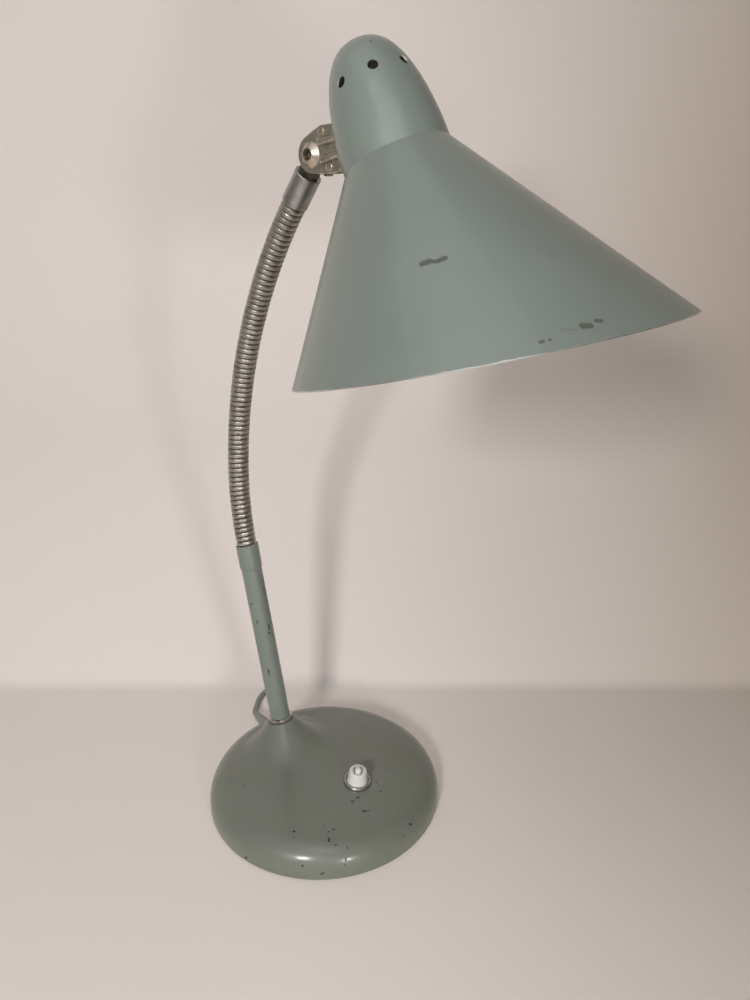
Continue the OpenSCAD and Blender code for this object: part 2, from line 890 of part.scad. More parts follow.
module cheek_rivets() {
    color(nickel)
        on_cheek()
            rotate([90, 0, 0])
                for (at = rivet_at)
                    translate([at[0], at[1], 0]) {
                        translate([0, 0, -cheek_out - eps])
                            cylinder(h = 2 * (cheek_out + eps), d = rivet_d);
                        for (side = [0, 1])
                            mirror([0, 0, side])
                                translate([0, 0, cheek_out + fit])
                                    cylinder(h = rivet_head_h, r1 = rivet_head_r, r2 = rivet_head_r - 0.7);
                    }
}

// The lug between the cheeks, which carries the shade
module shade_lug() {
    color(nickel)
        difference() {
            on_cheek()
                rotate([90, 0, 0])
                    translate([0, 0, -cheek_in + seat / 2])
                        difference() {
                            linear_extrude(2 * cheek_in - seat)
                                polygon(lug_outline);
                            for (at = rivet_at)
                                translate([at[0], at[1], -1])
                                    cylinder(h = 2 * cheek_in + 2, d = rivet_d + 2 * fit);
                        }
            crown_outside(seat);
            on_pivot()
                for (z = lug_screw_z)
                    translate([0, 0, z])
                        rotate([0, 90, 0])
                            translate([0, 0, lug_screw_from - 0.4])
                                cylinder(h = axis_out, d = lug_screw_d + 2 * fit);
        }
}

module lug_screws() {
    color(steel)
        on_pivot()
            for (z = lug_screw_z) {
                wall_x = axis_out - crown_radius(pivot_down - z - shade_t, inner_len, inner_r);
                head_x = wall_x + bracket_t + lug_head_gap;
                translate([0, 0, z])
                    rotate([0, 90, 0]) {
                        translate([0, 0, lug_screw_from])
                            cylinder(h = head_x - lug_screw_from + eps, d = lug_screw_d);
                        translate([0, 0, head_x])
                            cylinder(h = lug_head_t, d = 2 * lug_screw_d);
                    }
            }
}

// ---- shade ----
module shade() {
    color(paint)
        on_axis()
            difference() {
                rotate_extrude($fn = 180)
                    polygon(concat(
                        crown_points(crown_len, crown_r, 0),
                        [cone_point(crown_r), cone_point(inner_r)],
                        [for (i = [crown_steps : -1 : 0])
                            crown_points(inner_len, inner_r, shade_t)[i]]));
                translate([0, 0, -shade_len])
                    rotate([0, rim_slant, 0])
                        translate([-far / 2, -far / 2, -far])
                            cube([far, far, far]);
                for (i = [0 : vent_count - 1])
                    rotate([0, 0, i * 360 / vent_count])
                        translate([0, 0, -vent_down])
                            rotate([0, 90, 0])
                                translate([0, 0, 10])
                                    cylinder(h = 40, d = vent_d, $fn = 32);
                for (z = lug_screw_z)
                    translate([-crown_r - 5, 0, z - pivot_down])
                        rotate([0, 90, 0])
                            cylinder(h = crown_r, d = lug_screw_d + 2 * fit);
            }
}

// A skin on the inside of the crown, between two depths below its top
module inside_skin(gap, top, bottom) {
    difference() {
        rotate_extrude()
            polygon(concat(crown_points(inner_len - gap, inner_r - gap, shade_t + gap), [[0, -crown_len]]));
        translate([-far / 2, -far / 2, -top])
            cube([far, far, far]);
        translate([-far / 2, -far / 2, -bottom - far])
            cube([far, far, far]);
    }
}

module inner_bracket() {
    arm_z = holder_down - bracket_t - seat;
    color(steel)
        on_axis()
            difference() {
                union() {
                    intersection() {
                        difference() {
                            inside_skin(seat, arm_z, pivot_down + 17);
                            inside_skin(seat + bracket_t, arm_z + bracket_t, far);
                        }
                        translate([-far, -bracket_w / 2, -far / 2])
                            cube([far, bracket_w, far]);
                    }
                    intersection() {
                        inside_skin(seat, arm_z, arm_z + bracket_t);
                        union() {
                            translate([-far, -bracket_w / 2, -far / 2])
                                cube([far, bracket_w, far]);
                            translate([0, 0, -far / 2])
                                cylinder(h = far, d = nipple_d + 10);
                        }
                    }
                }
                translate([0, 0, -far / 2])
                    cylinder(h = far, d = nipple_d + 2 * fit);
                for (z = lug_screw_z)
                    translate([-crown_r - 5, 0, z - pivot_down])
                        rotate([0, 90, 0])
                            cylinder(h = crown_r, d = lug_screw_d + 2 * fit);
            }
}

// ---- lampholder and bulb ----
module holder_nipple() {
    color(brass)
        on_axis()
            translate([0, 0, -holder_down - 3])
                difference() {
                    union() {
                        cylinder(h = nipple_len, d = nipple_d);
                        translate([0, 0, 3 + bracket_t + 2 * seat])
                            cylinder(h = 2.6, d = 16, $fn = 6);
                    }
                    translate([0, 0, -1])
                        cylinder(h = nipple_len + 2, d = wire_d);
                }
}

module holder_cap() {
    r = holder_d / 2;
    round = 5;
    color(bakelite)
        on_axis()
            rotate_extrude()
                difference() {
                    union() {
                        translate([0, -holder_down - cap_part])
                            square([r, cap_part - round]);
                        translate([0, -holder_down - cap_part])
                            square([r - round, cap_part]);
                        translate([r - round, -holder_down - round])
                            circle(round, $fn = 48);
                    }
                    translate([0, -holder_down - cap_part - 1])
                        square([r - holder_wall, cap_part - 2]);
                    translate([0, -holder_down - cap_part])
                        square([nipple_d / 2 + fit, cap_part + 1]);
                }
}

module holder_body() {
    top = -holder_down - cap_part - seat;
    bottom = -holder_down - holder_len;
    r = holder_d / 2;
    bore = cap_d / 2 + thread_shell_t + 0.5;
    color(bakelite)
        on_axis()
            rotate_extrude()
                polygon([
                    [bore, bottom], [r - 1.4, bottom], [r - 0.6, bottom + 1.2],
                    [r - 0.6, top - 4], [r, top - 3], [r, top], [bore, top]]);
}

module thread_shell() {
    color(brass)
        on_axis()
            translate([0, 0, -cap_down - cap_len + 1])
                rotate_extrude()
                    polygon([
                        [cap_d / 2 + bulb_gap / 3, 0], [cap_d / 2 + bulb_gap / 3 + thread_shell_t, 0],
                        [cap_d / 2 + bulb_gap / 3 + thread_shell_t, thread_shell_len],
                        [6, thread_shell_len], [6, thread_shell_len - thread_shell_t],
                        [cap_d / 2 + bulb_gap / 3, thread_shell_len - thread_shell_t]]);
}

module centre_contact() {
    top = -cap_down + 2.4;
    color(white)
        on_axis()
            difference() {
                translate([0, 0, top])
                    cylinder(h = 7, r = cap_d / 2 + thread_shell_t + 0.4);
                translate([0, 0, top + 3])
                    cylinder(h = 8, r = 8);
            }
    color(brass)
        on_axis()
            translate([0, 0, -cap_down + 0.3])
                cylinder(h = 2.4, r = 3);
}

module bulb_cap() {
    color(steel)
        on_axis()
            translate([0, 0, -cap_down - cap_len])
                rotate_extrude()
                    polygon(concat(
                        [[0, 0], [cap_d / 2 - 0.8, 0]],
                        [for (i = [0 : 11]) [cap_d / 2 - (i % 2) * 0.9, 1.4 + i * 1.45]],
                        [[cap_d / 2 - 1.2, cap_len - 5], [5, cap_len - 1.6], [4.6, cap_len], [0, cap_len]]));
}

module bulb_glass() {
    ball_z = -holder_down - holder_len - bulb_len + bulb_d / 2;
    neck_top_z = -cap_down - cap_len - seat;
    color([0.95, 0.94, 0.90])
        on_axis()
            rotate_extrude()
                intersection() {
                    union() {
                        translate([0, ball_z])
                            circle(bulb_d / 2);
                        polygon([
                            [0, ball_z], [bulb_d / 2 * cos(28), ball_z + bulb_d / 2 * sin(28)],
                            [cap_d / 2 - 1, neck_top_z - 6], [cap_d / 2 - 1, neck_top_z],
                            [0, neck_top_z]]);
                    }
                    translate([0, -far])
                        square([far, 2 * far]);
                }
}

// ---- switch ----
module switch_ring() {
    inner = switch_cap_d / 2 + 0.2;
    color(steel)
        on_switch()
            translate([0, 0, 0.2])
                rotate_extrude()
                    polygon([
                        [inner, 0], [ring_d / 2, 0], [ring_d / 2, ring_h - 1.4],
                        [ring_d / 2 - 1.2, ring_h], [inner, ring_h]]);
}

module switch_cap() {
    wall = 1.8;
    color(white)
        on_switch()
            difference() {
                translate([0, 0, 0.4])
                    cylinder(h = switch_cap_h - 0.4, d1 = switch_cap_d, d2 = switch_top_d);
                cylinder(h = switch_cap_h - wall, d1 = switch_cap_d - 2 * wall,
                             d2 = switch_top_d - 2 * wall + 1.4);
                translate([-slot_half, -slot_w / 2, switch_cap_h - wall - 1])
                    cube([2 * slot_half, slot_w, wall + 2]);
            }
}

module switch_body() {
    cavity_r = collar_d / 2 - 2;
    color(white)
        on_switch()
            difference() {
                union() {
                    translate([0, 0, -shell_t - 0.4 - switch_housing_h])
                        cylinder(h = switch_housing_h, d = switch_housing_d);
                    translate([0, 0, -shell_t - 1])
                        cylinder(h = shell_t + 1.3, d = collar_d);
                }
                translate([0, 0, -12])
                    cylinder(h = 20, r = cavity_r);
                translate([0, 0, lever_pivot_z])
                    rotate([90, 0, 0])
                        translate([0, 0, -cavity_r - 1.4])
                            cylinder(h = 2 * cavity_r + 2.8, r = 1.2 + fit);
            }
}

module switch_lever() {
    cavity_r = collar_d / 2 - 2;
    color(white)
        on_switch()
            translate([0, 0, lever_pivot_z])
                rotate([0, -lever_lean, 0]) {
                    cylinder(h = lever_len - lever_tip_r, d = lever_d);
                    translate([0, 0, lever_len - lever_tip_r])
                        sphere(lever_tip_r);
                    sphere(lever_ball_r);
                    translate([0, 0, -lever_foot_len])
                        cylinder(h = lever_foot_len, r1 = 1.4, r2 = 2.2);
                    rotate([90, 0, 0])
                        translate([0, 0, -cavity_r - 1.2])
                            cylinder(h = 2 * cavity_r + 2.4, r = 1.2);
                }
}

module switch_terminals() {
    color(brass)
        on_switch()
            for (side = [-1, 1])
                translate([-2.5, side * 5 - 2, -shell_t - 0.4 - switch_housing_h - seat - 3.2])
                    difference() {
                        cube([5, 4, 3.2]);
                        translate([2.5, -1, 1.6])
                            rotate([-90, 0, 0])
                                cylinder(h = 6, r = 0.9);
                    }
}

// ---- cord ----
module cord_tube() {
    color(flex_grey)
        swept_tube(cord_route, cord_d / 2, 8);
}

module cord_coil() {
    color(flex_grey)
        translate([coil_at[0], coil_at[1], 0])
            rotate_extrude()
                translate([coil_turn_r - coil_half, 0])
                    square([2 * coil_half, coil_layers * cord_d]);
}

module cord_tail() {
    color(flex_grey)
        swept_tube(tail_route, cord_d / 2, 8);
}

module on_plug() {
    translate([plug_at[0], plug_at[1], plug_h / 2])
        rotate([0, 0, plug_turn])
            children();
}

module plug_body() {
    color(flex_grey)
        on_plug() {
            rotate([0, 90, 0])
                cylinder(h = relief_len, r1 = cord_d / 2 + 0.6, r2 = 4.8);
            difference() {
                hull() {
                    for (side = [-1, 1])
                        translate([relief_len - 2 + 5, side * 4, -plug_h / 2])
                            cylinder(h = plug_h, r = 4.5, $fn = 24);
                    for (side = [-1, 1])
                        translate([relief_len + plug_len - 3, side * (plug_w / 2 - 3), -plug_h / 2])
                            cylinder(h = plug_h, r = 3, $fn = 24);
                }
                for (side = [-1, 1])
                    translate([relief_len + plug_len - 6, side * pin_spread / 2, 0])
                        rotate([0, 90, 0])
                            cylinder(h = 10, d = pin_d + 2 * fit);
            }
        }
}

module plug_pins() {
    color(brass)
        on_plug()
            for (side = [-1, 1])
                translate([relief_len + plug_len - 5.9, side * pin_spread / 2, 0])
                    rotate([0, 90, 0]) {
                        cylinder(h = pin_len + 5, d = pin_d);
                        translate([0, 0, pin_len + 5])
                            sphere(d = pin_d);
                    }
}

base_shell();
base_weight();
bottom_plate();
felt_pad();
plate_screws();
cord_sleeve();
foot_ring();
stem_tube();
stem_washer();
stem_nut();
hose_root();
neck_segment(1);  // neck_01
neck_segment(2);  // neck_02
neck_segment(3);  // neck_03
neck_segment(4);  // neck_04
neck_segment(5);  // neck_05
neck_segment(6);  // neck_06
neck_segment(7);  // neck_07
neck_segment(8);  // neck_08
neck_segment(9);  // neck_09
neck_segment(10);  // neck_10
neck_segment(11);  // neck_11
neck_segment(12);  // neck_12
neck_segment(13);  // neck_13
last_segment(14);  // neck_14
top_ferrule();
joint_tongue();
left_cheek();
right_cheek();
tilt_screw();
friction_washers();
cheek_rivets();
shade_lug();
lug_screws();
shade();
inner_bracket();
holder_nipple();
holder_cap();
holder_body();
thread_shell();
centre_contact();
bulb_cap();
bulb_glass();
switch_ring();
switch_cap();
switch_body();
switch_lever();
switch_terminals();
cord_tube();
cord_coil();
cord_tail();
plug_body();
plug_pins();
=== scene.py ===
from math import asin, cos, degrees, hypot, pi, radians, sin, sqrt, tan
import bmesh
import bpy
from mathutils import Matrix, Vector


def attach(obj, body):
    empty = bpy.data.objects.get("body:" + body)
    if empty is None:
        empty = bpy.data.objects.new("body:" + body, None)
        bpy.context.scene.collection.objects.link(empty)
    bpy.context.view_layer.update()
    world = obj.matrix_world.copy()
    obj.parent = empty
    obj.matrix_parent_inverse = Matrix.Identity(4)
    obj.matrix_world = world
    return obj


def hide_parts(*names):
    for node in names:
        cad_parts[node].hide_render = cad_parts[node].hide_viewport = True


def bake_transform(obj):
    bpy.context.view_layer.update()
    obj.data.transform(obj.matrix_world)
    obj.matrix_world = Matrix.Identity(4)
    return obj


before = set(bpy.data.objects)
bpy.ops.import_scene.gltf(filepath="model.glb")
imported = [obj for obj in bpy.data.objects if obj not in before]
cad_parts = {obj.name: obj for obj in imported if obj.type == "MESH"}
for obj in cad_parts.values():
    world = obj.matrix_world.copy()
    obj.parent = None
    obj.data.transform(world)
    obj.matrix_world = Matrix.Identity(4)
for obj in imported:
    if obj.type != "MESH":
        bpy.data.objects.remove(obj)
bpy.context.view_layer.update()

mm = 0.001

# the lamp's own measures in mm and degrees, the same as in its solids
lamp = {
    "footRadius": 90, "footHeight": 30, "footEdge": 18, "footSide": 5, "stemBack": 48.5,
    "bossHeight": 46, "bossTop": 11, "bossSlope": 40, "stemLean": 10.8, "stemLength": 149.4,
    "footRing": 2.8, "turnPitch": 3.75, "turnsEach": 5, "neckLengths": 14, "lowerCount": 3,
    "lowerBend": 4.6, "upperBend": 3.1, "ferruleLength": 21, "pivotReach": 13, "shadeLean": 26.4,
    "axisOut": 52, "pivotDown": 34.8, "cheekTurn": 12, "switchFront": 35, "switchSpin": 130,
    "coneAngle": 34, "crownLength": 63.7, "crownRadius": 30, "sidePower": 1.8, "topPower": 2.8,
    "shadeLength": 172.5, "rimSlant": 11.2,
}
edgeMiddle = lamp["footRadius"] - lamp["footEdge"]
edgeRise = lamp["footHeight"] - lamp["footEdge"]
domeDepth = (edgeMiddle**2 + lamp["footSide"]**2 - edgeRise**2) / (2 * (edgeRise - lamp["footSide"]))
domeRadius = lamp["footHeight"] + domeDepth
domeReach = edgeMiddle * domeRadius / (domeRadius - lamp["footEdge"])


def place(x, y, z, turn=0.0):
    # a frame at a point in mm, turned about the level axis that runs across the lamp
    return Matrix.Translation(Vector((x, y, z)) * mm) @ Matrix.Rotation(radians(turn), 4, "Y")


stemFrame = place(-lamp["stemBack"], 0, lamp["bossHeight"], -lamp["stemLean"])
switchRise = sqrt(domeRadius**2 - lamp["switchFront"]**2) - domeDepth
switchTurn = degrees(asin(lamp["switchFront"] / domeRadius))
switchFrame = place(lamp["switchFront"], 0, switchRise, switchTurn)
switchFrame = switchFrame @ Matrix.Rotation(radians(lamp["switchSpin"]), 4, "Z")

# the hose: where each of its lengths ends, in mm, and its angle from vertical there
segmentLength = lamp["turnPitch"] * lamp["turnsEach"]
stemAlong = lamp["footRing"] + lamp["stemLength"]
lean = radians(lamp["stemLean"])
segmentEnds = [(-lamp["stemBack"] - stemAlong * sin(lean), lamp["bossHeight"] + stemAlong * cos(lean),
                -lamp["stemLean"])]


def hoseStep(k, share=1.0):
    # place and angle part of the way along length k, which begins at end k
    x, z, angle = segmentEnds[k]
    bend = lamp["lowerBend"] if k < lamp["lowerCount"] else lamp["upperBend"]
    bendRadius = segmentLength / radians(bend)
    a0, a1 = radians(angle), radians(angle + bend * share)
    return x + bendRadius * (cos(a0) - cos(a1)), z + bendRadius * (sin(a1) - sin(a0)), angle + bend * share


for k in range(lamp["neckLengths"]):
    segmentEnds.append(hoseStep(k))
topX, topZ, topAngle = segmentEnds[-1]
tiltFrame = place(topX, 0, topZ, topAngle) @ place(0, 0, lamp["ferruleLength"] + lamp["pivotReach"])
pivotFrame = Matrix.Translation(tiltFrame.translation) @ place(0, 0, 0, -lamp["shadeLean"])
axisFrame = pivotFrame @ place(lamp["axisOut"], 0, lamp["pivotDown"])
cheekFrame = pivotFrame @ place(0, 0, 0, lamp["cheekTurn"])
print("frames ready")

# camera: its place is in mm, its clipping range in metres
camera = {
    "at": (366.7, -366.7, 464.5), "heading": 40.56, "down": 22.38, "lens": 29.37, "sensor": 36,
    "near": 0.01, "far": 20,
}
eye = bpy.data.objects.new("lampCamera", bpy.data.cameras.new("lampCamera"))
bpy.context.scene.collection.objects.link(eye)
eye.location = Vector(camera["at"]) * mm
eye.rotation_euler = (radians(90 - camera["down"]), 0, radians(camera["heading"]))
eye.data.lens = camera["lens"]
eye.data.sensor_width = camera["sensor"]
eye.data.clip_start = camera["near"]
eye.data.clip_end = camera["far"]
bpy.context.scene.camera = eye
print("camera ready")


# node helpers
def fill(tree, made, inputs):
    # joins each input of a node, or sets its value
    for key, value in inputs.items():
        if isinstance(value, bpy.types.NodeSocket):
            tree.links.new(value, made.inputs[key])
        else:
            made.inputs[key].default_value = value


def put(tree, kind, inputs=None, **settings):
    # adds a node with its options and its inputs
    made = tree.nodes.new("ShaderNode" + kind)
    for key, value in settings.items():
        setattr(made, key, value)
    fill(tree, made, inputs or {})
    return made


def math(tree, operation, *values, clamp=False):
    return put(tree, "Math", dict(enumerate(values)), operation=operation, use_clamp=clamp).outputs[0]


def scaled(tree, value, by, plus=0.0, clamp=False):
    # value times by, and then plus
    return math(tree, "MULTIPLY_ADD", value, by, plus, clamp=clamp)


def vmath(tree, operation, first, second):
    inputs = {0: first, "Scale" if operation == "SCALE" else 1: second}
    made = put(tree, "VectorMath", inputs, operation=operation)
    return made.outputs["Value" if operation in ("DISTANCE", "DOT_PRODUCT") else "Vector"]


def mixColour(tree, factor, *colours):
    # inputs 6 and 7 and output 2 of the node are the ones for colours
    first, second = (c if isinstance(c, bpy.types.NodeSocket) else (*c, 1.0) for c in colours)
    return put(tree, "Mix", {0: factor, 6: first, 7: second}, data_type="RGBA").outputs[2]


def span(tree, value, low, high, toLow=0.0, toHigh=1.0):
    # a smooth ramp of value from low to high
    made = put(tree, "MapRange", {"Value": value, "From Min": low, "From Max": high,
                                  "To Min": toLow, "To Max": toHigh}, interpolation_type="SMOOTHSTEP")
    return made.outputs["Result"]


def noiseOf(tree, where, scale, detail, rough, out="Fac"):
    return put(tree, "TexNoise", {"Vector": where, "Scale": scale, "Detail": detail,
                                  "Roughness": rough}).outputs[out]


def objectPlace(tree):
    return put(tree, "TexCoord").outputs["Object"]


def bumpOf(tree, height, strength, distance):
    made = put(tree, "Bump", {"Height": height, "Strength": strength, "Distance": distance})
    return made.outputs["Normal"]


def newGroup(name, inputs, outputs):
    # a node group with named sockets; returns its tree, its inputs and its output node
    tree = bpy.data.node_groups.new(name, "ShaderNodeTree")
    for label, kind, value in inputs:
        made = tree.interface.new_socket(label, in_out="INPUT", socket_type="NodeSocket" + kind)
        made.default_value = value
    for label, kind in outputs:
        tree.interface.new_socket(label, in_out="OUTPUT", socket_type="NodeSocket" + kind)
    return tree, tree.nodes.new("NodeGroupInput").outputs, tree.nodes.new("NodeGroupOutput")


def useGroup(tree, group, **inputs):
    return put(tree, "Group", inputs, node_tree=group).outputs


def newMaterial(name, **uniform):
    # a material with a Principled shader; the numbers that are the same all over go on its sockets
    made = bpy.data.materials.new(name)
    made.use_nodes = True
    tree = made.node_tree
    shader = next(n for n in tree.nodes if n.type == "BSDF_PRINCIPLED")
    for key, value in uniform.items():
        slot = shader.inputs[key.replace("_", " ")]
        slot.default_value = (*value, 1.0) if isinstance(value, tuple) else value
    return made, tree, shader


# effects that the materials share; an edge is where a smooth ramp begins and ends
wear = {
    "ragScale": 1100.0, "wanderScale": 420.0, "swing": 0.9, "fray": 0.5, "speckEdge": (0.20, 0.14),
    "bareEdge": (1.08, 0.92), "lipEdge": (1.6, 1.0), "stainEdge": (1.3, 0.2), "stainScale": 260.0,
    "stainCloud": (0.38, 0.66), "dirtCloud": (0.38, 0.72), "fineScale": 1500.0, "bendScale": 18.0,
    "bend": 0.03, "scratchScale": 55.0, "scratchAt": 0.62, "scratchEdge": (0.006, 0.0),
    "scratchLays": [((0.4, 0.9, 0.2), 14.0), ((1.3, 0.3, 1.9), 22.0)],    # turn, stretch
    "rustScale": 420.0, "rustEdge": (0.35, 0.65), "patchScale": 130.0, "patchEdge": (0.45, 0.62),
}


def markReach(tree, where, marks):
    # how far a point is from the nearest dot or stroke, in half widths of that mark
    nearest = None
    for *ends, half in marks:
        a, b = Vector(ends[0]) * mm, Vector(ends[-1]) * mm
        if len(ends) == 1:
            away = vmath(tree, "DISTANCE", where, a)
        else:
            gap = vmath(tree, "SUBTRACT", where, a)
            run = vmath(tree, "DOT_PRODUCT", gap, (b - a) / (b - a).length_squared)
            run = math(tree, "MAXIMUM", math(tree, "MINIMUM", run, 1.0), 0.0)
            away = vmath(tree, "DISTANCE", gap, vmath(tree, "SCALE", b - a, run))
        reach = math(tree, "DIVIDE", away, half * mm)
        nearest = reach if nearest is None else math(tree, "MINIMUM", nearest, reach)
    return nearest


def chipGroup(name, marks):
    # where the paint is gone: at the marks, and in scattered specks
    tree, give, leave = newGroup(name, [("Ragged", "Float", 0.5), ("Speck Share", "Float", 0.02),
                                        ("Speck Size", "Float", 260.0)],
                                 [("Bare", "Float"), ("Lip", "Float")])
    where = objectPlace(tree)
    rag = noiseOf(tree, where, wear["ragScale"], 3.0, 0.6)
    wander = noiseOf(tree, where, wear["wanderScale"], 2.0, 0.5)
    swing = math(tree, "SUBTRACT", math(tree, "ADD", rag, wander), 1.0)
    swing = math(tree, "MULTIPLY", swing, give["Ragged"])
    nearest = scaled(tree, swing, wear["swing"], markReach(tree, where, marks))
    cells = put(tree, "TexVoronoi", {"Vector": where, "Scale": give["Speck Size"]}).outputs
    draw = put(tree, "SeparateColor", {"Color": cells["Color"]}).outputs[0]
    frayed = scaled(tree, math(tree, "SUBTRACT", rag, 0.5), wear["fray"], cells["Distance"])
    speck = math(tree, "MULTIPLY", math(tree, "LESS_THAN", draw, give["Speck Share"]),
                 span(tree, frayed, *wear["speckEdge"]))
    fill(tree, leave, {"Bare": math(tree, "MAXIMUM", span(tree, nearest, *wear["bareEdge"]), speck),
                       "Lip": math(tree, "MAXIMUM", span(tree, nearest, *wear["lipEdge"]), speck)})
    return tree


def stainGroup(name, marks):
    # soft darkening along the marks, broken up by noise
    tree, give, leave = newGroup(name, [("Broken", "Float", 0.8)], [("Stain", "Float")])
    where = objectPlace(tree)
    soft = span(tree, markReach(tree, where, marks), *wear["stainEdge"])
    cloud = span(tree, noiseOf(tree, where, wear["stainScale"], 4.0, 0.65), *wear["stainCloud"])
    gone = math(tree, "MULTIPLY", math(tree, "SUBTRACT", 1.0, cloud), give["Broken"])
    fill(tree, leave, {"Stain": math(tree, "MULTIPLY", soft, math(tree, "SUBTRACT", 1.0, gone))})
    return tree


def grimeGroup():
    # clouds of dirt, a fine grain, and thin bent scratches that lie two ways
    tree, give, leave = newGroup("lampGrime", [("Scale", "Float", 60.0), ("Amount", "Float", 0.5)],
                                 [("Cloud", "Float"), ("Fine", "Float"), ("Scratch", "Float")])
    where = objectPlace(tree)
    cloud = span(tree, noiseOf(tree, where, give["Scale"], 5.0, 0.62), *wear["dirtCloud"])
    bend = noiseOf(tree, where, wear["bendScale"], 2.0, 0.5, "Color")
    bent = vmath(tree, "ADD", where, vmath(tree, "SCALE", bend, wear["bend"]))
    lines = 0.0
    for turn, stretch in wear["scratchLays"]:
        spun = put(tree, "Mapping", {"Vector": bent, "Rotation": turn, "Scale": (1.0, stretch, 1.0)})
        thin = noiseOf(tree, spun.outputs[0], wear["scratchScale"], 2.0, 0.5)
        off = math(tree, "ABSOLUTE", math(tree, "SUBTRACT", thin, wear["scratchAt"]))
        lines = math(tree, "MAXIMUM", lines, span(tree, off, *wear["scratchEdge"]))
    fill(tree, leave, {"Cloud": math(tree, "MULTIPLY", cloud, give["Amount"]),
                       "Fine": noiseOf(tree, where, wear["fineScale"], 2.0, 0.6),
                       "Scratch": math(tree, "MULTIPLY", lines, give["Amount"])})
    return tree


def rustGroup():
    tree, give, leave = newGroup("lampRust", [("Dark", "Color", (0.035, 0.022, 0.014, 1)),
                                              ("Light", "Color", (0.15, 0.085, 0.045, 1))],
                                 [("Colour", "Color"), ("Patch", "Float")])
    where = objectPlace(tree)
    tone = span(tree, noiseOf(tree, where, wear["rustScale"], 5.0, 0.65), *wear["rustEdge"])
    patch = span(tree, noiseOf(tree, where, wear["patchScale"], 5.0, 0.7), *wear["patchEdge"])
    fill(tree, leave, {"Colour": mixColour(tree, tone, give["Dark"], give["Light"]), "Patch": patch})
    return tree


grime = grimeGroup()
rust = rustGroup()
print("effect groups ready")

# paint
paint = {
    "colour": (0.222, 0.262, 0.236), "shaded": (0.205, 0.243, 0.216), "toneScale": 14.0,
    "dust": (0.27, 0.285, 0.25), "dustShare": 0.12, "rough": 0.40, "coat": 0.55, "coatRough": 0.17,
    "stain": (0.10, 0.085, 0.06), "stainShare": 0.55, "stainDull": 0.8, "lip": (0.12, 0.125, 0.105),
    "lipShare": 0.35, "bareRough": 0.2, "inside": (0.70, 0.69, 0.63), "metal": (0.66, 0.65, 0.62),
    "metalRough": 0.24, "grainScale": 240.0, "grain": 0.04, "chipDepth": 0.4, "scratchDepth": 0.03,
    "bump": (0.3, 0.0004),    # strength, distance
}


def enamel(name, chips, bareColour, stains, values, extra=None, paintedShade=(1, 1, 1)):
    made, tree, shader = newMaterial(name, IOR=1.5, Coat_Roughness=paint["coatRough"])
    where = objectPlace(tree)
    worn = useGroup(tree, chipGroup(name + "Chips", chips), **values)
    stain = useGroup(tree, stainGroup(name + "DarkMarks", stains))["Stain"]
    dirt = useGroup(tree, grime, Scale=34.0, Amount=0.5)
    tone = span(tree, noiseOf(tree, where, paint["toneScale"], 3.0, 0.5), 0.3, 0.7)
    main, shaded, dust = ([c * t for c, t in zip(paint[key], paintedShade)] for key in ("colour", "shaded", "dust"))
    dusty = scaled(tree, dirt["Cloud"], paint["dustShare"])
    colour = mixColour(tree, dusty, mixColour(tree, tone, main, shaded), dust)
    shiny = 0.0
    if extra is not None:
        colour, shiny = extra(tree, where, colour)
    colour = mixColour(tree, scaled(tree, stain, paint["stainShare"]), colour, paint["stain"])
    colour = mixColour(tree, scaled(tree, worn["Lip"], paint["lipShare"]), colour, paint["lip"])
    colour = mixColour(tree, worn["Bare"], colour, bareColour)
    if extra is not None:
        colour = mixColour(tree, shiny, colour, paint["metal"])
    rough = scaled(tree, worn["Bare"], paint["bareRough"], math(tree, "ADD", paint["rough"], dusty))
    rough = scaled(tree, shiny, paint["metalRough"] - paint["rough"], rough, clamp=True)
    dull = math(tree, "MAXIMUM", worn["Bare"], shiny)
    dull = math(tree, "MAXIMUM", dull, scaled(tree, stain, paint["stainDull"]))
    height = scaled(tree, noiseOf(tree, where, paint["grainScale"], 2.0, 0.5), paint["grain"])
    height = scaled(tree, worn["Bare"], -paint["chipDepth"], height)
    height = scaled(tree, dirt["Scratch"], -paint["scratchDepth"], height)
    fill(tree, shader, {"Base Color": colour, "Metallic": shiny, "Roughness": rough,
                        "Coat Weight": scaled(tree, dull, -paint["coat"], paint["coat"]),
                        "Normal": bumpOf(tree, height, *paint["bump"])})
    return made


# the shade's two sides and its rim: mm along its axis, then metres above the rim's plane
shadeMarks = {"middle": -60, "wanderScale": 110.0, "wander": 0.0016, "bareRim": (0.0007, 0.0004)}


def shadeSides(tree, where, colour):
    # white paint inside, and bare metal along the worn rim
    middle = axisFrame @ (Vector((0, 0, shadeMarks["middle"])) * mm)
    facing = vmath(tree, "DOT_PRODUCT", put(tree, "TexCoord").outputs["Normal"],
                   vmath(tree, "SUBTRACT", where, middle))
    colour = mixColour(tree, math(tree, "LESS_THAN", facing, 0.0), colour, paint["inside"])
    rimFrame = axisFrame @ place(0, 0, -lamp["shadeLength"], lamp["rimSlant"])
    rimUp = rimFrame.to_3x3() @ Vector((0, 0, 1))
    above = math(tree, "SUBTRACT", vmath(tree, "DOT_PRODUCT", where, rimUp), rimUp.dot(rimFrame.translation))
    wander = math(tree, "SUBTRACT", noiseOf(tree, where, shadeMarks["wanderScale"], 4.0, 0.6), 0.5)
    return colour, span(tree, scaled(tree, wander, shadeMarks["wander"], above), *shadeMarks["bareRim"])
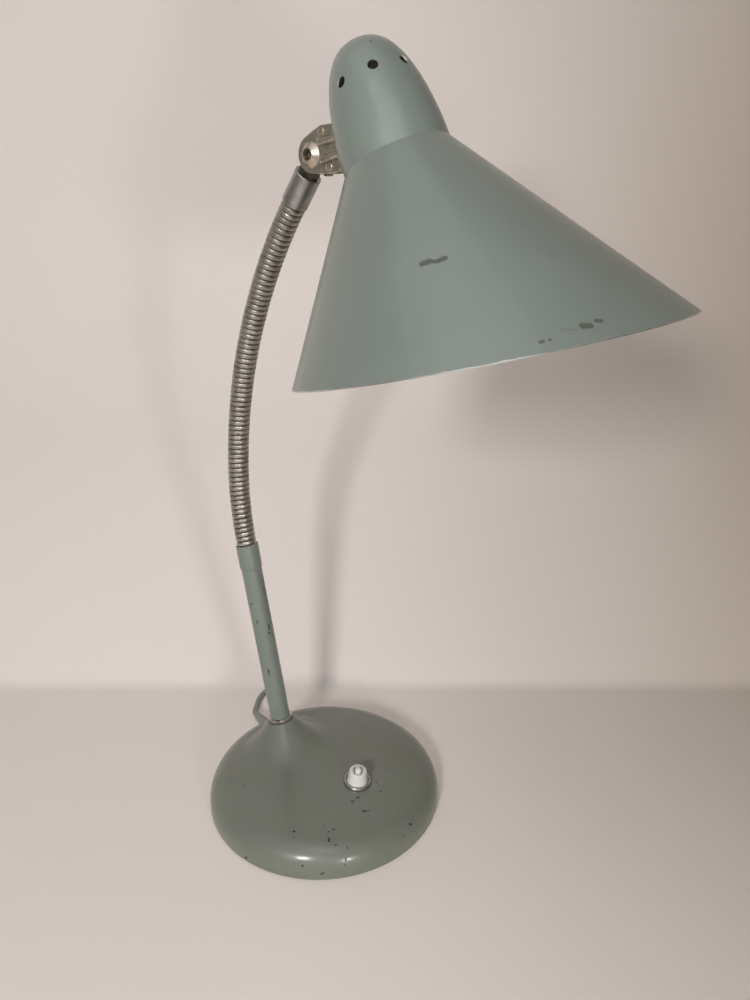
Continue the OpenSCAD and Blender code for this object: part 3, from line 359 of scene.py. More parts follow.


# chips, stains and a darker band, in mm: a dot or the two ends of a stroke, then half the width
footChips = [
    ((30.4, -63.6, 23.6), (31.2, -63.0, 23.6), 0.73), ((28.5, -65, 23.5), 0.43), ((34, -66.5, 22.8), 0.47),
    ((44.3, -45.8, 24.8), 0.43), ((51.2, -44, 24.1), (51.7, -43.5, 24.1), 0.52),
    ((50.4, -47, 23.9), (49.9, -48, 23.8), 0.39), ((54.0, -51.4, 22.9), (55.2, -52.8, 22.5), 0.82),
    ((59.7, -52.5, 21.4), (61, -51, 21.4), 0.34), ((67.4, -47.2, 19.8), 0.56),
    ((45.0, -12.0, 27.2), (46.2, -10.9, 27.1), 0.65), ((44.4, -17.2, 27.1), (45.6, -15.8, 27.1), 0.47),
    ((46.7, -18.4, 26.8), 0.43), ((56.6, -17.8, 25.5), (58, -16.2, 25.4), 0.65),
    ((59, -14.8, 25.3), (59.4, -14.2, 25.3), 0.43), ((62.2, -18.8, 24.6), 0.34),
    ((85.2, 1.2, 17.1), (86, 2.6, 16.6), 0.69), ((86.8, -8.3, 14.6), 0.52), ((45.7, 10.1, 27.2), 0.6),
    ((42.5, 25.3, 26.9), 0.6), ((69.9, -51.5, 15.3), (70.3, -52, 14.2), 0.52), ((70.8, -53.6, 11.5), 0.52),
    ((49, -73.8, 12.1), (49.6, -73.4, 11.8), 0.52), ((60.2, -66.8, 5.8), (61.8, -65.4, 7.4), 0.52),
    ((7.3, -89.7, 3.4), (8.3, -89.6, 4.6), 0.77), ((-43.9, -59.6, 22.9), 0.52), ((5.2, 58.3, 25.6), 0.52),
]
shadeChips = [
    ((136.2, -64.6, 423.2), (138.6, -63.2, 424.1), 1.5), ((138.6, -63.2, 424.1), (142.6, -61.6, 424.3), 1.0),
    ((142.6, -61.6, 424.3), (144.7, -59.4, 425.7), 1.3), ((210.8, -52, 402.4), (212.9, -49.7, 402.4), 1.5),
    ((213.3, -45.4, 404.0), (214.8, -43.8, 403.9), 1.0), ((201.3, -69.3, 397.2), (202.1, -68.5, 397.5), 0.8),
    ((203.8, -66.3, 397.9), 0.7), ((58.4, -9.7, 522.3), 0.6),
]
stemChips = [
    ((-68, -1, 190.2), (-67.8, -1.1, 189.2), 0.5), ((-67.4, -1.7, 186.6), (-67.3, -1.8, 185.6), 0.55),
    ((-66.7, -7.8, 149.4), (-66.5, -7.8, 148.2), 0.5), ((-62.3, -7.2, 136), (-61.6, -7.2, 133), 0.4),
    ((-56.4, -0.1, 131), (-56, -0.3, 127.5), 0.6), ((-55.5, -1.1, 124.8), (-55.5, -1.1, 124.0), 0.7),
    ((-53, -6.2, 94), (-52.2, -6.4, 90.4), 0.55), ((-52, -6.4, 88.6), (-52, -6.4, 88.2), 0.4),
]
stemStains = [
    ((-64, 1.5, 170), (-61, 3.6, 148), 3.0), ((-60.8, 4, 147), (-59, 5.2, 128), 4.2),
    ((-52, 0, 58), (-50, 0, 49), 2.0),
]
# darker along the front of the foot's lowest edge, just above the table
footEdgeDark = [((-20, -86, 4), (30, -84, 4), 1.6)]
shadeStains = [((205, -60, 401.5), (210, -55, 401), 0.8)]
# the foot's paint is made darker and warmer than the shade's and the stem's: painted shade with a warm cast
# of bounced light
footPaint = enamel("footPaint", footChips, (0.028, 0.030, 0.024), footEdgeDark,
                   {"Ragged": 0.9, "Speck Share": 0.003}, paintedShade=(0.90, 0.84, 0.77))
shadePaint = enamel("shadePaint", shadeChips, (0.105, 0.115, 0.095), shadeStains,
                    {"Ragged": 0.7, "Speck Share": 0.0015}, shadeSides)
stemPaint = enamel("stemPaint", stemChips, (0.035, 0.03, 0.024), stemStains,
                   {"Ragged": 0.9, "Speck Share": 0.012})
print("paint ready")

# metals and plastics; each share says how much of the grime's clouds, grain or scratches goes in
metalMarks = {
    "scale": 180.0, "dark": (0.05, 0.045, 0.04), "darkShare": 0.8, "cloudRough": 0.25,
    "scratchRough": 0.15, "fine": 0.5, "scratch": -0.6, "bump": 0.12,
}
plasticMarks = {
    "scale": 90.0, "soil": (0.25, 0.24, 0.21), "soilShare": 0.25, "cloudRough": 0.15, "scratch": -0.5,
    "bump": 0.1,
}
bumpDistance = 0.0002


def metal(name, colour, rough, worn):
    made, tree, shader = newMaterial(name, Metallic=1.0)
    marks = useGroup(tree, grime, Scale=metalMarks["scale"], Amount=worn)
    dirty = scaled(tree, marks["Cloud"], metalMarks["darkShare"])
    lay = scaled(tree, marks["Cloud"], metalMarks["cloudRough"], rough)
    lay = scaled(tree, marks["Scratch"], metalMarks["scratchRough"], lay, clamp=True)
    height = scaled(tree, marks["Scratch"], metalMarks["scratch"],
                    scaled(tree, marks["Fine"], metalMarks["fine"]))
    fill(tree, shader, {"Base Color": mixColour(tree, dirty, colour, metalMarks["dark"]), "Roughness": lay,
                        "Normal": bumpOf(tree, height, metalMarks["bump"], bumpDistance)})
    return made


def plastic(name, colour, rough, soil=plasticMarks["soil"], bump=plasticMarks["bump"]):
    made, tree, shader = newMaterial(name, IOR=1.48)
    marks = useGroup(tree, grime, Scale=plasticMarks["scale"], Amount=0.5)
    dirty = scaled(tree, marks["Cloud"], plasticMarks["soilShare"])
    height = scaled(tree, marks["Scratch"], plasticMarks["scratch"], marks["Fine"])
    fill(tree, shader, {"Base Color": mixColour(tree, dirty, colour, soil),
                        "Roughness": scaled(tree, marks["Cloud"], plasticMarks["cloudRough"], rough),
                        "Normal": bumpOf(tree, height, bump, bumpDistance)})
    return made


hoseSteel = metal("hoseSteel", (0.50, 0.47, 0.42), 0.34, 0.6)
plainSteel = metal("plainSteel", (0.46, 0.45, 0.43), 0.30, 0.4)
nickelPlate = metal("nickelPlate", (0.60, 0.54, 0.44), 0.30, 0.6)
# very dark steel for the tongue between the cheeks and the tilt screw in its pit: painted shade
jointShadeSteel = metal("jointShadeSteel", (0.17, 0.15, 0.12), 0.45, 0.8)
brassMetal = metal("brassMetal", (0.60, 0.42, 0.16), 0.28, 0.5)
ironCast = metal("ironCast", (0.10, 0.10, 0.10), 0.6, 0.8)
whitePlastic = plastic("whitePlastic", (0.90, 0.89, 0.86), 0.22)
whiteCeramic = plastic("whiteCeramic", (0.78, 0.76, 0.70), 0.15)
blackBakelite = plastic("blackBakelite", (0.02, 0.017, 0.015), 0.18, (0.08, 0.07, 0.06))
greyFlex = plastic("greyFlex", (0.33, 0.34, 0.33), 0.5)
feltCloth = plastic("feltCloth", (0.03, 0.05, 0.035), 0.95, bump=0.6)

opal = {
    "light": (0.90, 0.885, 0.84), "dark": (0.84, 0.825, 0.78), "scale": 60.0, "edge": (0.3, 0.7),
    "rough": (0.18, 0.30), "glow": 0.3, "depth": (0.004, 0.004, 0.0036),
}
opalGlass, opalTree, opalShader = newMaterial("opalGlass", IOR=1.5, Subsurface_Weight=opal["glow"])
opalCloud = noiseOf(opalTree, objectPlace(opalTree), opal["scale"], 3.0, 0.5)
fill(opalTree, opalShader, {
    "Base Color": mixColour(opalTree, opalCloud, opal["light"], opal["dark"]),
    "Roughness": span(opalTree, opalCloud, *opal["edge"], *opal["rough"]),
    "Subsurface Radius": opal["depth"]})
print("metals and plastics ready")

nodeMaterials = {
    "base_shell": footPaint, "stem_tube": stemPaint, "shade": shadePaint, "base_weight": ironCast,
    "felt_pad": feltCloth, "holder_nipple": brassMetal, "thread_shell": brassMetal,
    "switch_terminals": brassMetal, "plug_pins": brassMetal, "holder_cap": blackBakelite,
    "holder_body": blackBakelite, "centre_contact": whiteCeramic, "switch_cap": whitePlastic,
    "switch_body": whitePlastic, "switch_lever": whitePlastic, "cord_sleeve": greyFlex,
    "cord_tube": greyFlex, "cord_coil": greyFlex, "cord_tail": greyFlex, "plug_body": greyFlex,
    "bulb_glass": opalGlass, "left_cheek": nickelPlate, "right_cheek": nickelPlate,
    "cheek_rivets": nickelPlate, "shade_lug": nickelPlate, "joint_tongue": jointShadeSteel,
    "tilt_screw": jointShadeSteel,
}
for name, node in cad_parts.items():
    finish = nodeMaterials.get(name, hoseSteel if name.startswith("neck_") else plainSteel)
    node.data.materials.clear()
    node.data.materials.append(finish)
    for face in node.data.polygons:
        face.material_index = 0


# mesh helpers
def newPiece(name, verts, faces, body, slot, finish, replaced=(), sharp=None):
    mesh = bpy.data.meshes.new(name)
    mesh.from_pydata([tuple(v) for v in verts], [], faces)
    mesh.validate()
    outward = bmesh.new()
    outward.from_mesh(mesh)
    bmesh.ops.recalc_face_normals(outward, faces=outward.faces)
    outward.to_mesh(mesh)
    outward.free()
    mesh.shade_smooth()
    if sharp is not None:
        mesh.set_sharp_from_angle(angle=radians(sharp))
    mesh.materials.append(finish)
    piece = bpy.data.objects.new(name, mesh)
    bpy.context.scene.collection.objects.link(piece)
    if body is not None:
        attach(piece, body)
    if replaced:
        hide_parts(*replaced)
    return piece


def angles(count):
    return [2 * pi * j / count for j in range(count)]


def ease(t):
    # a smooth step from 0 to 1
    t = min(max(t, 0.0), 1.0)
    return t * t * (3 - 2 * t)


def halve(low, high, beyond):
    # where a test first holds, between low and high
    for _ in range(30):
        middle = (low + high) / 2
        low, high = (low, middle) if beyond(middle) else (middle, high)
    return low


def ringFaces(rows, columns, closed=True, start=0):
    faces = []
    for i in range(rows - 1):
        for j in range(columns if closed else columns - 1):
            a, b = start + i * columns + j, start + i * columns + (j + 1) % columns
            faces.append((a, b, b + columns, a + columns))
    return faces


def turned(outline, count, matrix, verts=None, faces=None):
    # spins an outline of (radius, height) in mm round the frame's Z axis
    verts = [] if verts is None else verts
    faces = [] if faces is None else faces
    faces += ringFaces(len(outline), count, start=len(verts))
    for radius, height in outline:
        verts += [matrix @ (Vector((radius * cos(a), radius * sin(a), height)) * mm) for a in angles(count)]
    return verts, faces


nearAxis = 0.05    # smallest radius of a turned piece, in mm


def roundTop(radius, low, high):
    # a quarter of an ellipse, from above the wall to just beside the axis
    arc = [(radius * cos(a), low + (high - low) * sin(a)) for a in (radians(12 * n) for n in range(1, 8))]
    return arc + [(nearAxis, high)]


# cord, in metres and degrees
cord = {
    "diameter": 0.005, "coilAt": (-0.176, 0.106), "lanes": (0.0225, 0.0275, 0.0325, 0.0375),
    "arrive": 8, "leave": 130, "steps": 36, "crossing": 0.25, "tail": 0.027, "tailDrop": 0.00069,
}
cordRoute = [
    (-0.062, 0.0132, 0.008), (-0.080, 0.017, 0.008), (-0.092, 0.0196, 0.008), (-0.104, 0.0221, 0.008),
    (-0.111, 0.0252, 0.0064), (-0.117, 0.031, 0.0039), (-0.122, 0.037, 0.0026), (-0.1265, 0.043, 0.0025),
    (-0.130, 0.050, 0.0025), (-0.132, 0.058, 0.0025), (-0.133, 0.066, 0.0025), (-0.134, 0.076, 0.0025),
    (-0.1353, 0.088, 0.0025), (-0.137, 0.100, 0.0025), (-0.1389, 0.1112, 0.0025),
]


def smoothLine(points, each=8):
    # a Catmull-Rom line through the points
    line = []
    for i in range(len(points) - 1):
        p0, p1 = Vector(points[max(i - 1, 0)]), Vector(points[i])
        p2, p3 = Vector(points[i + 1]), Vector(points[min(i + 2, len(points) - 1)])
        for t in (s / each for s in range(each)):
            line.append(0.5 * ((2 * p1) + (p2 - p0) * t + (2 * p0 - 5 * p1 + 4 * p2 - p3) * t**2
                               + (3 * p1 - p0 - 3 * p2 + p3) * t**3))
    return line


def coilPoint(angle, radius, height):
    x, y = cord["coilAt"]
    return Vector((x + radius * cos(angle), y + radius * sin(angle), height))


def coilLine():
    # lane by lane inwards on the table, up at the middle, outwards on top, and off towards the plug
    low, high = cord["diameter"] / 2, cord["diameter"] * 1.5
    lanes, steps = cord["lanes"], cord["steps"]
    stops = [(r, low) for r in reversed(lanes)] + [(r, high) for r in lanes]
    arrive, leave = radians(cord["arrive"]), radians(cord["leave"])
    line = []
    for (r0, z0), (r1, z1) in zip(stops, stops[1:]):
        for part in (s / steps for s in range(steps)):
            move = ease(1 - (1 - part) / cord["crossing"])
            line.append(coilPoint(arrive + 2 * pi * part, r0 + (r1 - r0) * move, z0 + (z1 - z0) * move))
    count = int(steps * (leave - arrive) / (2 * pi))
    line += [coilPoint(arrive + (leave - arrive) * s / count, lanes[-1], high) for s in range(count + 1)]
    end, count = line[-1], 5
    tail = Vector((-sin(leave) * cord["tail"], cos(leave) * cord["tail"], -cord["tailDrop"]))
    return line + [end + tail * (s / count) for s in range(1, count + 1)]


cordLine = smoothLine(cordRoute) + coilLine()
curve = bpy.data.curves.new("lampCord", "CURVE")
curve.dimensions = "3D"
curve.bevel_depth = cord["diameter"] / 2
curve.bevel_resolution = 4
curve.use_fill_caps = True
spline = curve.splines.new("POLY")
spline.points.add(len(cordLine) - 1)
for point, p in zip(spline.points, cordLine):
    point.co = (*p, 1.0)
spline.use_smooth = True
curve.materials.append(greyFlex)
lampCord = bpy.data.objects.new("lampCord", curve)
bpy.context.scene.collection.objects.link(lampCord)
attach(lampCord, "base")
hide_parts("cord_tube", "cord_coil", "cord_tail")

# gooseneck: one wound band runs the whole way. It is cut in a groove at each hinge that turns
# forwards, and each stretch takes in the hinge in its middle, which turns sideways.
hose = {
    "columns": 56, "turnsBelow": 4, "turnsAbove": 2, "skirt": (1.3, 6.45), "cutGap": 0.04,
    # share of a turn and radius, from the middle of one groove to the next
    "band": [(0.0, 6.70), (0.075, 6.74), (0.105, 7.10), (0.15, 7.42), (0.24, 7.58), (0.40, 7.63),
             (0.60, 7.63), (0.76, 7.58), (0.85, 7.42), (0.895, 7.10), (0.925, 6.74)],
    "grooveRows": (0, 1, 10), "bendFrom": -7.0, "bendTo": 4.2,
}
# dark steel on the faces in the grooves and on the skirt inside: painted shade
grooveShadeSteel = metal("grooveShadeSteel", (0.10, 0.09, 0.08), 0.55, 0.8)


def hosePlace(along):
    # middle of the hose and its angle, at a length along it from the stem's top, in mm
    k = min(max(int(along / segmentLength), 0), lamp["neckLengths"])
    rest = along - k * segmentLength
    if rest > 0 and k < lamp["neckLengths"]:
        x, z, angle = hoseStep(k, rest / segmentLength)
        return x, z, radians(angle)
    x, z, angle = segmentEnds[k]
    return x + rest * sin(radians(angle)), z + rest * cos(radians(angle)), radians(angle)


def wallPoint(along, radius, turn):
    # a point on the hose's wall, at an angle round it
    x, z, a = hosePlace(along)
    out = radius * cos(turn)
    return Vector((x + out * cos(a), radius * sin(turn), z - out * sin(a))) * mm


def hosePiece(name, firstTurn, lastTurn):
    rows, count, pitch = len(hose["band"]), hose["columns"], lamp["turnPitch"]
    first, last = firstTurn * rows, lastTurn * rows
    shares = [j / count for j in range(count + 1)]
    verts = []
    for i in range(first, last + 1):
        share, radius = hose["band"][i % rows]
        begin = (i // rows + share) * pitch - (hose["cutGap"] if i == last else 0.0)
        verts += [wallPoint(begin + t * pitch, radius, 2 * pi * t) for t in shares]
    faces = ringFaces(last - first + 1, count + 1, closed=False)
    low = [i % rows in hose["grooveRows"] for i in range(first, last) for _ in range(count)]
    down, radius = hose["skirt"]    # goes inside the stretch below and keeps the cut closed
    start = len(verts)
    verts += [wallPoint((firstTurn + t) * pitch - down, radius, 2 * pi * t) for t in shares]
    faces += [(start + j, start + j + 1, j + 1, j) for j in range(count)]
    low += [True] * count
    piece = newPiece(name, verts, faces, None, "hose_steel", hoseSteel)
    piece.data.materials.append(grooveShadeSteel)
    for face, isLow in zip(piece.data.polygons, low):
        face.material_index = int(isLow)
    joined = bmesh.new()
    joined.from_mesh(piece.data)
    bmesh.ops.remove_doubles(joined, verts=joined.verts, dist=1e-6)
    joined.to_mesh(piece.data)
    joined.free()
    return piece


hoseFoot = hosePiece("hoseFoot", -hose["turnsBelow"], 0)
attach(hoseFoot, "base")
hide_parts("hose_root")
for k in range(1, lamp["neckLengths"], 2):
    # each stretch covers two lengths of the hose, with its forward hinge and its sideways one
    spare = hose["turnsAbove"] if k == lamp["neckLengths"] - 1 else 0
    firstTurn, lastTurn = lamp["turnsEach"] * (k - 1), lamp["turnsEach"] * (k + 1) + spare
    stretch = hosePiece("hoseStretch%02d" % k, firstTurn, lastTurn)
    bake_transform(stretch)
    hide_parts("neck_%02d" % k, "neck_%02d" % (k + 1))
print("gooseneck ready")

# tilt joint: places on a cheek are (along, up) in mm, from the tilt screw
cheek = {
    "centre": (8.0, -0.8), "columns": 176, "rows": 60, "outer": 6.0, "inner": 3.85, "edge": 0.8,
    "reach": 40.0, "fade": 0.6, "backEdge": 0.2, "seat": 0.06,
    "discs": [(0, 0, 10.2), (11.4, 9.6, 3.2), (16.5, -12.6, 1.6), (28, 8.6, 1.2), (28, -9, 1.2)],
    "boss": (7.1, 3.6, 2.8, 0.5),                           # foot and top radius, height, rounding
    "ribs": [((9, 4.3), (25, 3.2)), ((9, -5.3), (25, -5.1))],
    "ribRadius": 1.95, "ribSink": 0.1,
    "ditch": (0.3, 0.5, 0.4), "ditchBelow": 0.5,            # how far beside a rib, half width, depth
    "rivets": [(11.4, 9.6), (12.7, -10.0)],
    "pocket": (2.55, 0.3, 0.5), "hole": (2.8, 4.4, 0.25),   # radius, depth, width of the wall
    "rivetRadius": 2.15, "rivetHeight": 0.35, "rivetWall": 0.15, "rivetFoot": (0.25, 0.3),
}
axisBack = axisFrame.inverted()


def insideCrown(point):
    # whether a point is inside the shade's crown or the cone below it
    local = axisBack @ point / mm
    down, length = -local.z, lamp["crownLength"]
    if down < 0:
        return False
    if down > length:
        edge = lamp["crownRadius"] + (down - length) * tan(radians(lamp["coneAngle"]))
    else:
        share = 1 - down / length
        edge = lamp["crownRadius"] * max(0.0, 1 - share**lamp["sidePower"])**(1 / lamp["topPower"])
    return hypot(local.x, local.y) < edge + cheek["seat"]


def insideHull(u, v):
    # whether a point is inside the outline that wraps the discs
    for a in angles(72):
        if u * cos(a) + v * sin(a) > max(x * cos(a) + y * sin(a) + r for x, y, r in cheek["discs"]) + 1e-6:
            return False
    return True


def pit(away, radius, depth, wall):
    # how deep a round pit is at a distance from its middle
    return depth * (1 - ease((away - radius) / wall))


def relief(u, v):
    # height of the cheek's face above its flat sheet, in mm
    away = hypot(u, v)
    outer, inner, high, brow = cheek["boss"]
    side = high * min(max((outer - away) / (outer - inner), 0.0), 1.0)
    height = high + (side - high) * ease((away - inner + brow) / (2 * brow))
    r = cheek["ribRadius"]
    beside, half, deep = cheek["ditch"]
    for (u0, v0), (u1, v1) in cheek["ribs"]:
        du, dv = u1 - u0, v1 - v0
        run = max(((u - u0) * du + (v - v0) * dv) / (du**2 + dv**2), 0.0)
        off = hypot(u - u0 - run * du, v - v0 - run * dv)
        if off < r:
            height = max(height, sqrt(r * r - off * off) - cheek["ribSink"])
        elif height < cheek["ditchBelow"]:
            height -= deep * ease(1 - abs(off - r - beside) / half)
    for u0, v0 in cheek["rivets"]:
        height -= pit(hypot(u - u0, v - v0), *cheek["pocket"])
    return height - pit(away, *cheek["hole"])


def cheekMesh(name, side, solid):
    u0, v0 = cheek["centre"]
    rows, count, edge = cheek["rows"], cheek["columns"], cheek["edge"]

    def at(a, r):
        return u0 + r * cos(a), v0 + r * sin(a)

    def spot(u, v, out):
        return cheekFrame @ (Vector((u, side * out, v)) * mm)

    def outside(a, r):
        return not insideHull(*at(a, r)) or insideCrown(spot(*at(a, r), cheek["inner"]))

    spokes = [(a, halve(0.0, cheek["reach"], lambda r: outside(a, r))) for a in angles(count)]
    verts = [spot(u0, v0, cheek["outer"] + relief(u0, v0))]
    for share in (i / rows for i in range(1, rows + 1)):
        for a, reach in spokes:
            u, v = at(a, reach * share)
            near = reach * (1 - share)
            drop = edge - sqrt(edge**2 - max(edge - near, 0.0)**2)
            verts.append(spot(u, v, cheek["outer"] + relief(u, v) * ease(near / cheek["fade"]) - drop))
    for out in (cheek["inner"] + cheek["backEdge"], cheek["inner"]):
        verts += [spot(*at(a, reach), out) for a, reach in spokes]
    end = len(verts) - count
    faces = [(0, 1 + j, 1 + (j + 1) % count) for j in range(count)]
    faces += ringFaces(rows + 2, count, start=1)
    faces += [(len(verts), end + (j + 1) % count, end + j) for j in range(count)]
    verts.append(spot(u0, v0, cheek["inner"]))
    newPiece(name, verts, faces, "shade_head", "nickel", nickelPlate, [solid], sharp=50)


cheekMesh("cheekNear", -1, "right_cheek")
cheekMesh("cheekFar", 1, "left_cheek")


def rivetHeads():
    verts, faces = [], []
    r, wall, sunk = cheek["rivetRadius"], cheek["rivetWall"], cheek["pocket"][1]
    inset, deep = cheek["rivetFoot"]
    outline = [(r - inset, -deep), (r, 0.0), (r, wall)] + roundTop(r, wall, cheek["rivetHeight"] + sunk)
    for side in (-1, 1):
        for u, v in cheek["rivets"]:
            stand = cheekFrame @ place(u, side * (cheek["outer"] - sunk), v)
            turned(outline, 40, stand @ Matrix.Rotation(-side * pi / 2, 4, "X"), verts, faces)
    newPiece("rivetHeads", verts, faces, "shade_head", "nickel", nickelPlate, ["cheek_rivets"], sharp=60)


rivetHeads()

# the rolled end of the spring strip that shows below the cheeks
tab = {
    "start": (1.7, -10.3), "step": (0.43, -0.42), "steps": 8, "curl": (6.0, -12.2), "curlRadius": 1.25,
    "curlSteps": 9, "half": 2.2, "thick": 0.5,
}


def springTab():
    (u, v), (du, dv), (cu, cv), r = tab["start"], tab["step"], tab["curl"], tab["curlRadius"]
    path = [(u + du * n, v + dv * n) for n in range(tab["steps"])]
    path += [(cu + r * sin(a), cv - r * cos(a)) for a in (radians(30 * n) for n in range(tab["curlSteps"]))]
    verts = [cheekFrame @ (Vector((u, w, v)) * mm) for u, v in path for w in (-tab["half"], tab["half"])]
    faces = ringFaces(len(path), 2, closed=False)
    strip = newPiece("springTab", verts, faces, "shade_head", "nickel", nickelPlate)
    strip.modifiers.new("thick", "SOLIDIFY").thickness = tab["thick"] * mm


springTab()
print("tilt joint ready")

# switch; outlines are (radius, height) in mm
switch = {
    "low": 8.2, "high": 6.5, "height": 11.5, "round": 1.0, "wallRows": (0.45, 3.5, 7.0, 10.0),
    "slotHalf": 4.67, "slotWide": 6.9, "slotRound": 0.4, "slotDepths": (2.4, 8.0), "columns": 96,
    "ring": [(8.35, 0.0), (10.3, 0.0), (10.5, 0.3), (10.5, 1.7), (10.3, 2.2), (9.8, 2.55), (9.2, 2.6),
             (8.6, 2.45), (8.35, 2.1), (8.35, 0.0)],
    "leverLean": 6.5, "leverPivot": -3, "leverTop": 18.44, "leverBall": 2.62,
    "lever": [(nearAxis, -3.2), (2.2, -2.3), (3.1, -0.4), (2.95, 1.0), (2.55, 2.6), (2.45, 5.0),
              (2.45, 10.0), (2.5, 13.0), (2.58, 14.5)],
}


def slotPoint(a, grow):
    # the point in the direction a on the outline of the round-ended slot, which is grown all round
    half, end = switch["slotHalf"], switch["slotWide"] / 2

    def outside(r):
        return hypot(max(abs(r * cos(a)) - half + end, 0.0), r * sin(a)) >= end + grow
    r = halve(0.0, half + grow + 1, outside)
    return r * cos(a), r * sin(a)


def switchCap():
    count, top = switch["columns"], switch["height"]
    rim, lip = switch["round"], switch["slotRound"]
    slope = (switch["low"] - switch["high"]) / top
    outline = [(switch["low"] - slope * z, z) for z in switch["wallRows"]]
    for a in (radians(15 * n) for n in range(7)):
        outline.append((switch["high"] + slope * rim - rim * (1 - cos(a)), top - rim + rim * sin(a)))
    verts, faces = turned(outline, count, switchFrame)
    inner = [(lip * (1 - sin(a)), lip * (1 - cos(a))) for a in (radians(22.5 * n) for n in range(5))]
    inner += [(0.0, deep) for deep in switch["slotDepths"]]
    for grow, deep in inner:
        for a in angles(count):
            verts.append(switchFrame @ (Vector((*slotPoint(a, grow), top - deep)) * mm))
    faces = ringFaces(len(outline) + len(inner), count)
    newPiece("switchCap", verts, faces, "base", "white_plastic", whitePlastic, ["switch_cap"], sharp=40)


def switchLever():
    stand = switchFrame @ place(0, 0, switch["leverPivot"], -switch["leverLean"])
    top, ball = switch["leverTop"], switch["leverBall"]
    outline = switch["lever"] + [(ball, top - ball)] + roundTop(ball, top - ball, top)
    newPiece("switchLever", *turned(outline, 48, stand), "toggle", "white_plastic", whitePlastic,
             ["switch_lever"])


switchCap()
newPiece("switchRing", *turned(switch["ring"], 96, switchFrame), "base", "plain_steel", plainSteel,
         ["switch_ring"], sharp=40)
switchLever()
print("switch ready")

# sweep of the boss into the dome, in mm
sweep = {
    "blend": 13.0, "columns": 120, "rows": 26, "lift": 0.05, "sink": 0.12, "margin": 1.0,
    "centreDown": 18, "near": 60.0, "far": 140.0,
}
bossBack = stemFrame.inverted()
sweepMiddle = (stemFrame @ place(0, 0, -sweep["centreDown"])).translation / mm


def footTop(x, y):
    # height of the plain dome and its rounded edge, in mm
    reach = hypot(x, y)
    if reach < domeReach:
        return sqrt(domeRadius**2 - reach**2) - domeDepth
    return lamp["footSide"] + sqrt(max(lamp["footEdge"]**2 - (reach - edgeMiddle)**2, 0.0))


def bossTopAt(x, y):
    # height of the boss's cone over a point, in mm
    def outside(z):
        local = bossBack @ (Vector((x, y, z)) * mm) / mm
        return hypot(local.x, local.y) > lamp["bossTop"] - local.z * tan(radians(lamp["bossSlope"]))
    return halve(-sweep["near"], sweep["near"], outside)


def sweepSpoke(a):
    # points of one line of the sweep, from the boss out to the dome
    def at(r):
        return sweepMiddle.x + r * cos(a), sweepMiddle.y + r * sin(a)

    def over(r):
        return footTop(*at(r)) - bossTopAt(*at(r))

    end = halve(0.0, sweep["far"], lambda r: hypot(*at(r)) > domeReach - sweep["margin"])
    blend = min(sweep["blend"], over(end))
    first = halve(0.0, sweep["near"], lambda r: over(r) > -blend)
    last = halve(first, sweep["far"], lambda r: over(r) > blend)
    points = []
    for i in range(sweep["rows"] + 1):
        x, y = at(first + (last - first) * i / sweep["rows"])
        dome, boss = footTop(x, y), bossTopAt(x, y)
        meet = max(blend - abs(dome - boss), 0.0) / blend
        off = sweep["lift"] if 0 < i < sweep["rows"] else -sweep["sink"]
        points.append(Vector((x, y, max(dome, boss) + meet**2 * blend / 4 + off)) * mm)
    return points


sweepRows = zip(*(sweepSpoke(a) for a in angles(sweep["columns"])))
newPiece("bossSweep", [point for row in sweepRows for point in row],
         ringFaces(sweep["rows"] + 1, sweep["columns"]), "base", "green_enamel", footPaint)
print("boss sweep ready")

# ring between the stem and the foot, in mm
footRing = {
    "outer": 9.8, "inner": 6.9, "low": 0.05, "high": 2.75, "round": 0.85, "bare": (0.52, 0.50, 0.46),
    "grimeScale": 160.0, "rough": 0.28, "rustRough": 0.4, "bump": (0.4, 0.0003),
}


def ringOutline():
    r, low, high = footRing["round"], footRing["low"], footRing["high"]
    outline = [(footRing["inner"], low)]
    for z, begin in ((low + r, -90), (high - r, 0)):
        for a in (radians(begin + 18 * n) for n in range(6)):
            outline.append((footRing["outer"] - r + r * cos(a), z + r * sin(a)))
    return outline + [(footRing["inner"], high)]


rustySteel, rustyTree, rustyShader = newMaterial("rustySteel")
rustyMarks = useGroup(rustyTree, rust)
rustyDirt = useGroup(rustyTree, grime, Scale=footRing["grimeScale"], Amount=0.8)
rustyHeight = math(rustyTree, "ADD", rustyMarks["Patch"], rustyDirt["Fine"])
fill(rustyTree, rustyShader, {
    "Base Color": mixColour(rustyTree, rustyMarks["Patch"], footRing["bare"], rustyMarks["Colour"]),
    "Metallic": math(rustyTree, "SUBTRACT", 1.0, rustyMarks["Patch"]),
    "Roughness": scaled(rustyTree, rustyMarks["Patch"], footRing["rustRough"], footRing["rough"]),
    "Normal": bumpOf(rustyTree, rustyHeight, *footRing["bump"])})
newPiece("stemRing", *turned(ringOutline(), 72, stemFrame), "base", "plain_steel", rustySteel,
         ["foot_ring"], sharp=60)
print("stem ring ready")

# floor, ramp and backdrop, in mm; a row's distance is from the lamp's middle, away from the camera
stage = {
    "floorRows": (-900, -200, 60), "rampStart": 141, "rampSlope": 45, "rampBend": 8, "wallStart": 330,
    # left and right are the backdrop's colours at its two sides: painted light and painted shade
    "wallBend": 260, "top": 1500, "wide": 2600, "glow": 0.17, "rough": 0.85, "left": (0.85, 0.775, 0.735),
    "right": (0.43, 0.355, 0.30), "across": (-0.05, 0.65), "mottle": (0.55, 0.50, 0.45),
    "mottleShare": 0.15, "mottleScale": 3.0,
}
heading = radians(camera["heading"])
awayDir = Vector((-sin(heading), cos(heading), 0))
sideDir = Vector((cos(heading), sin(heading), 0))


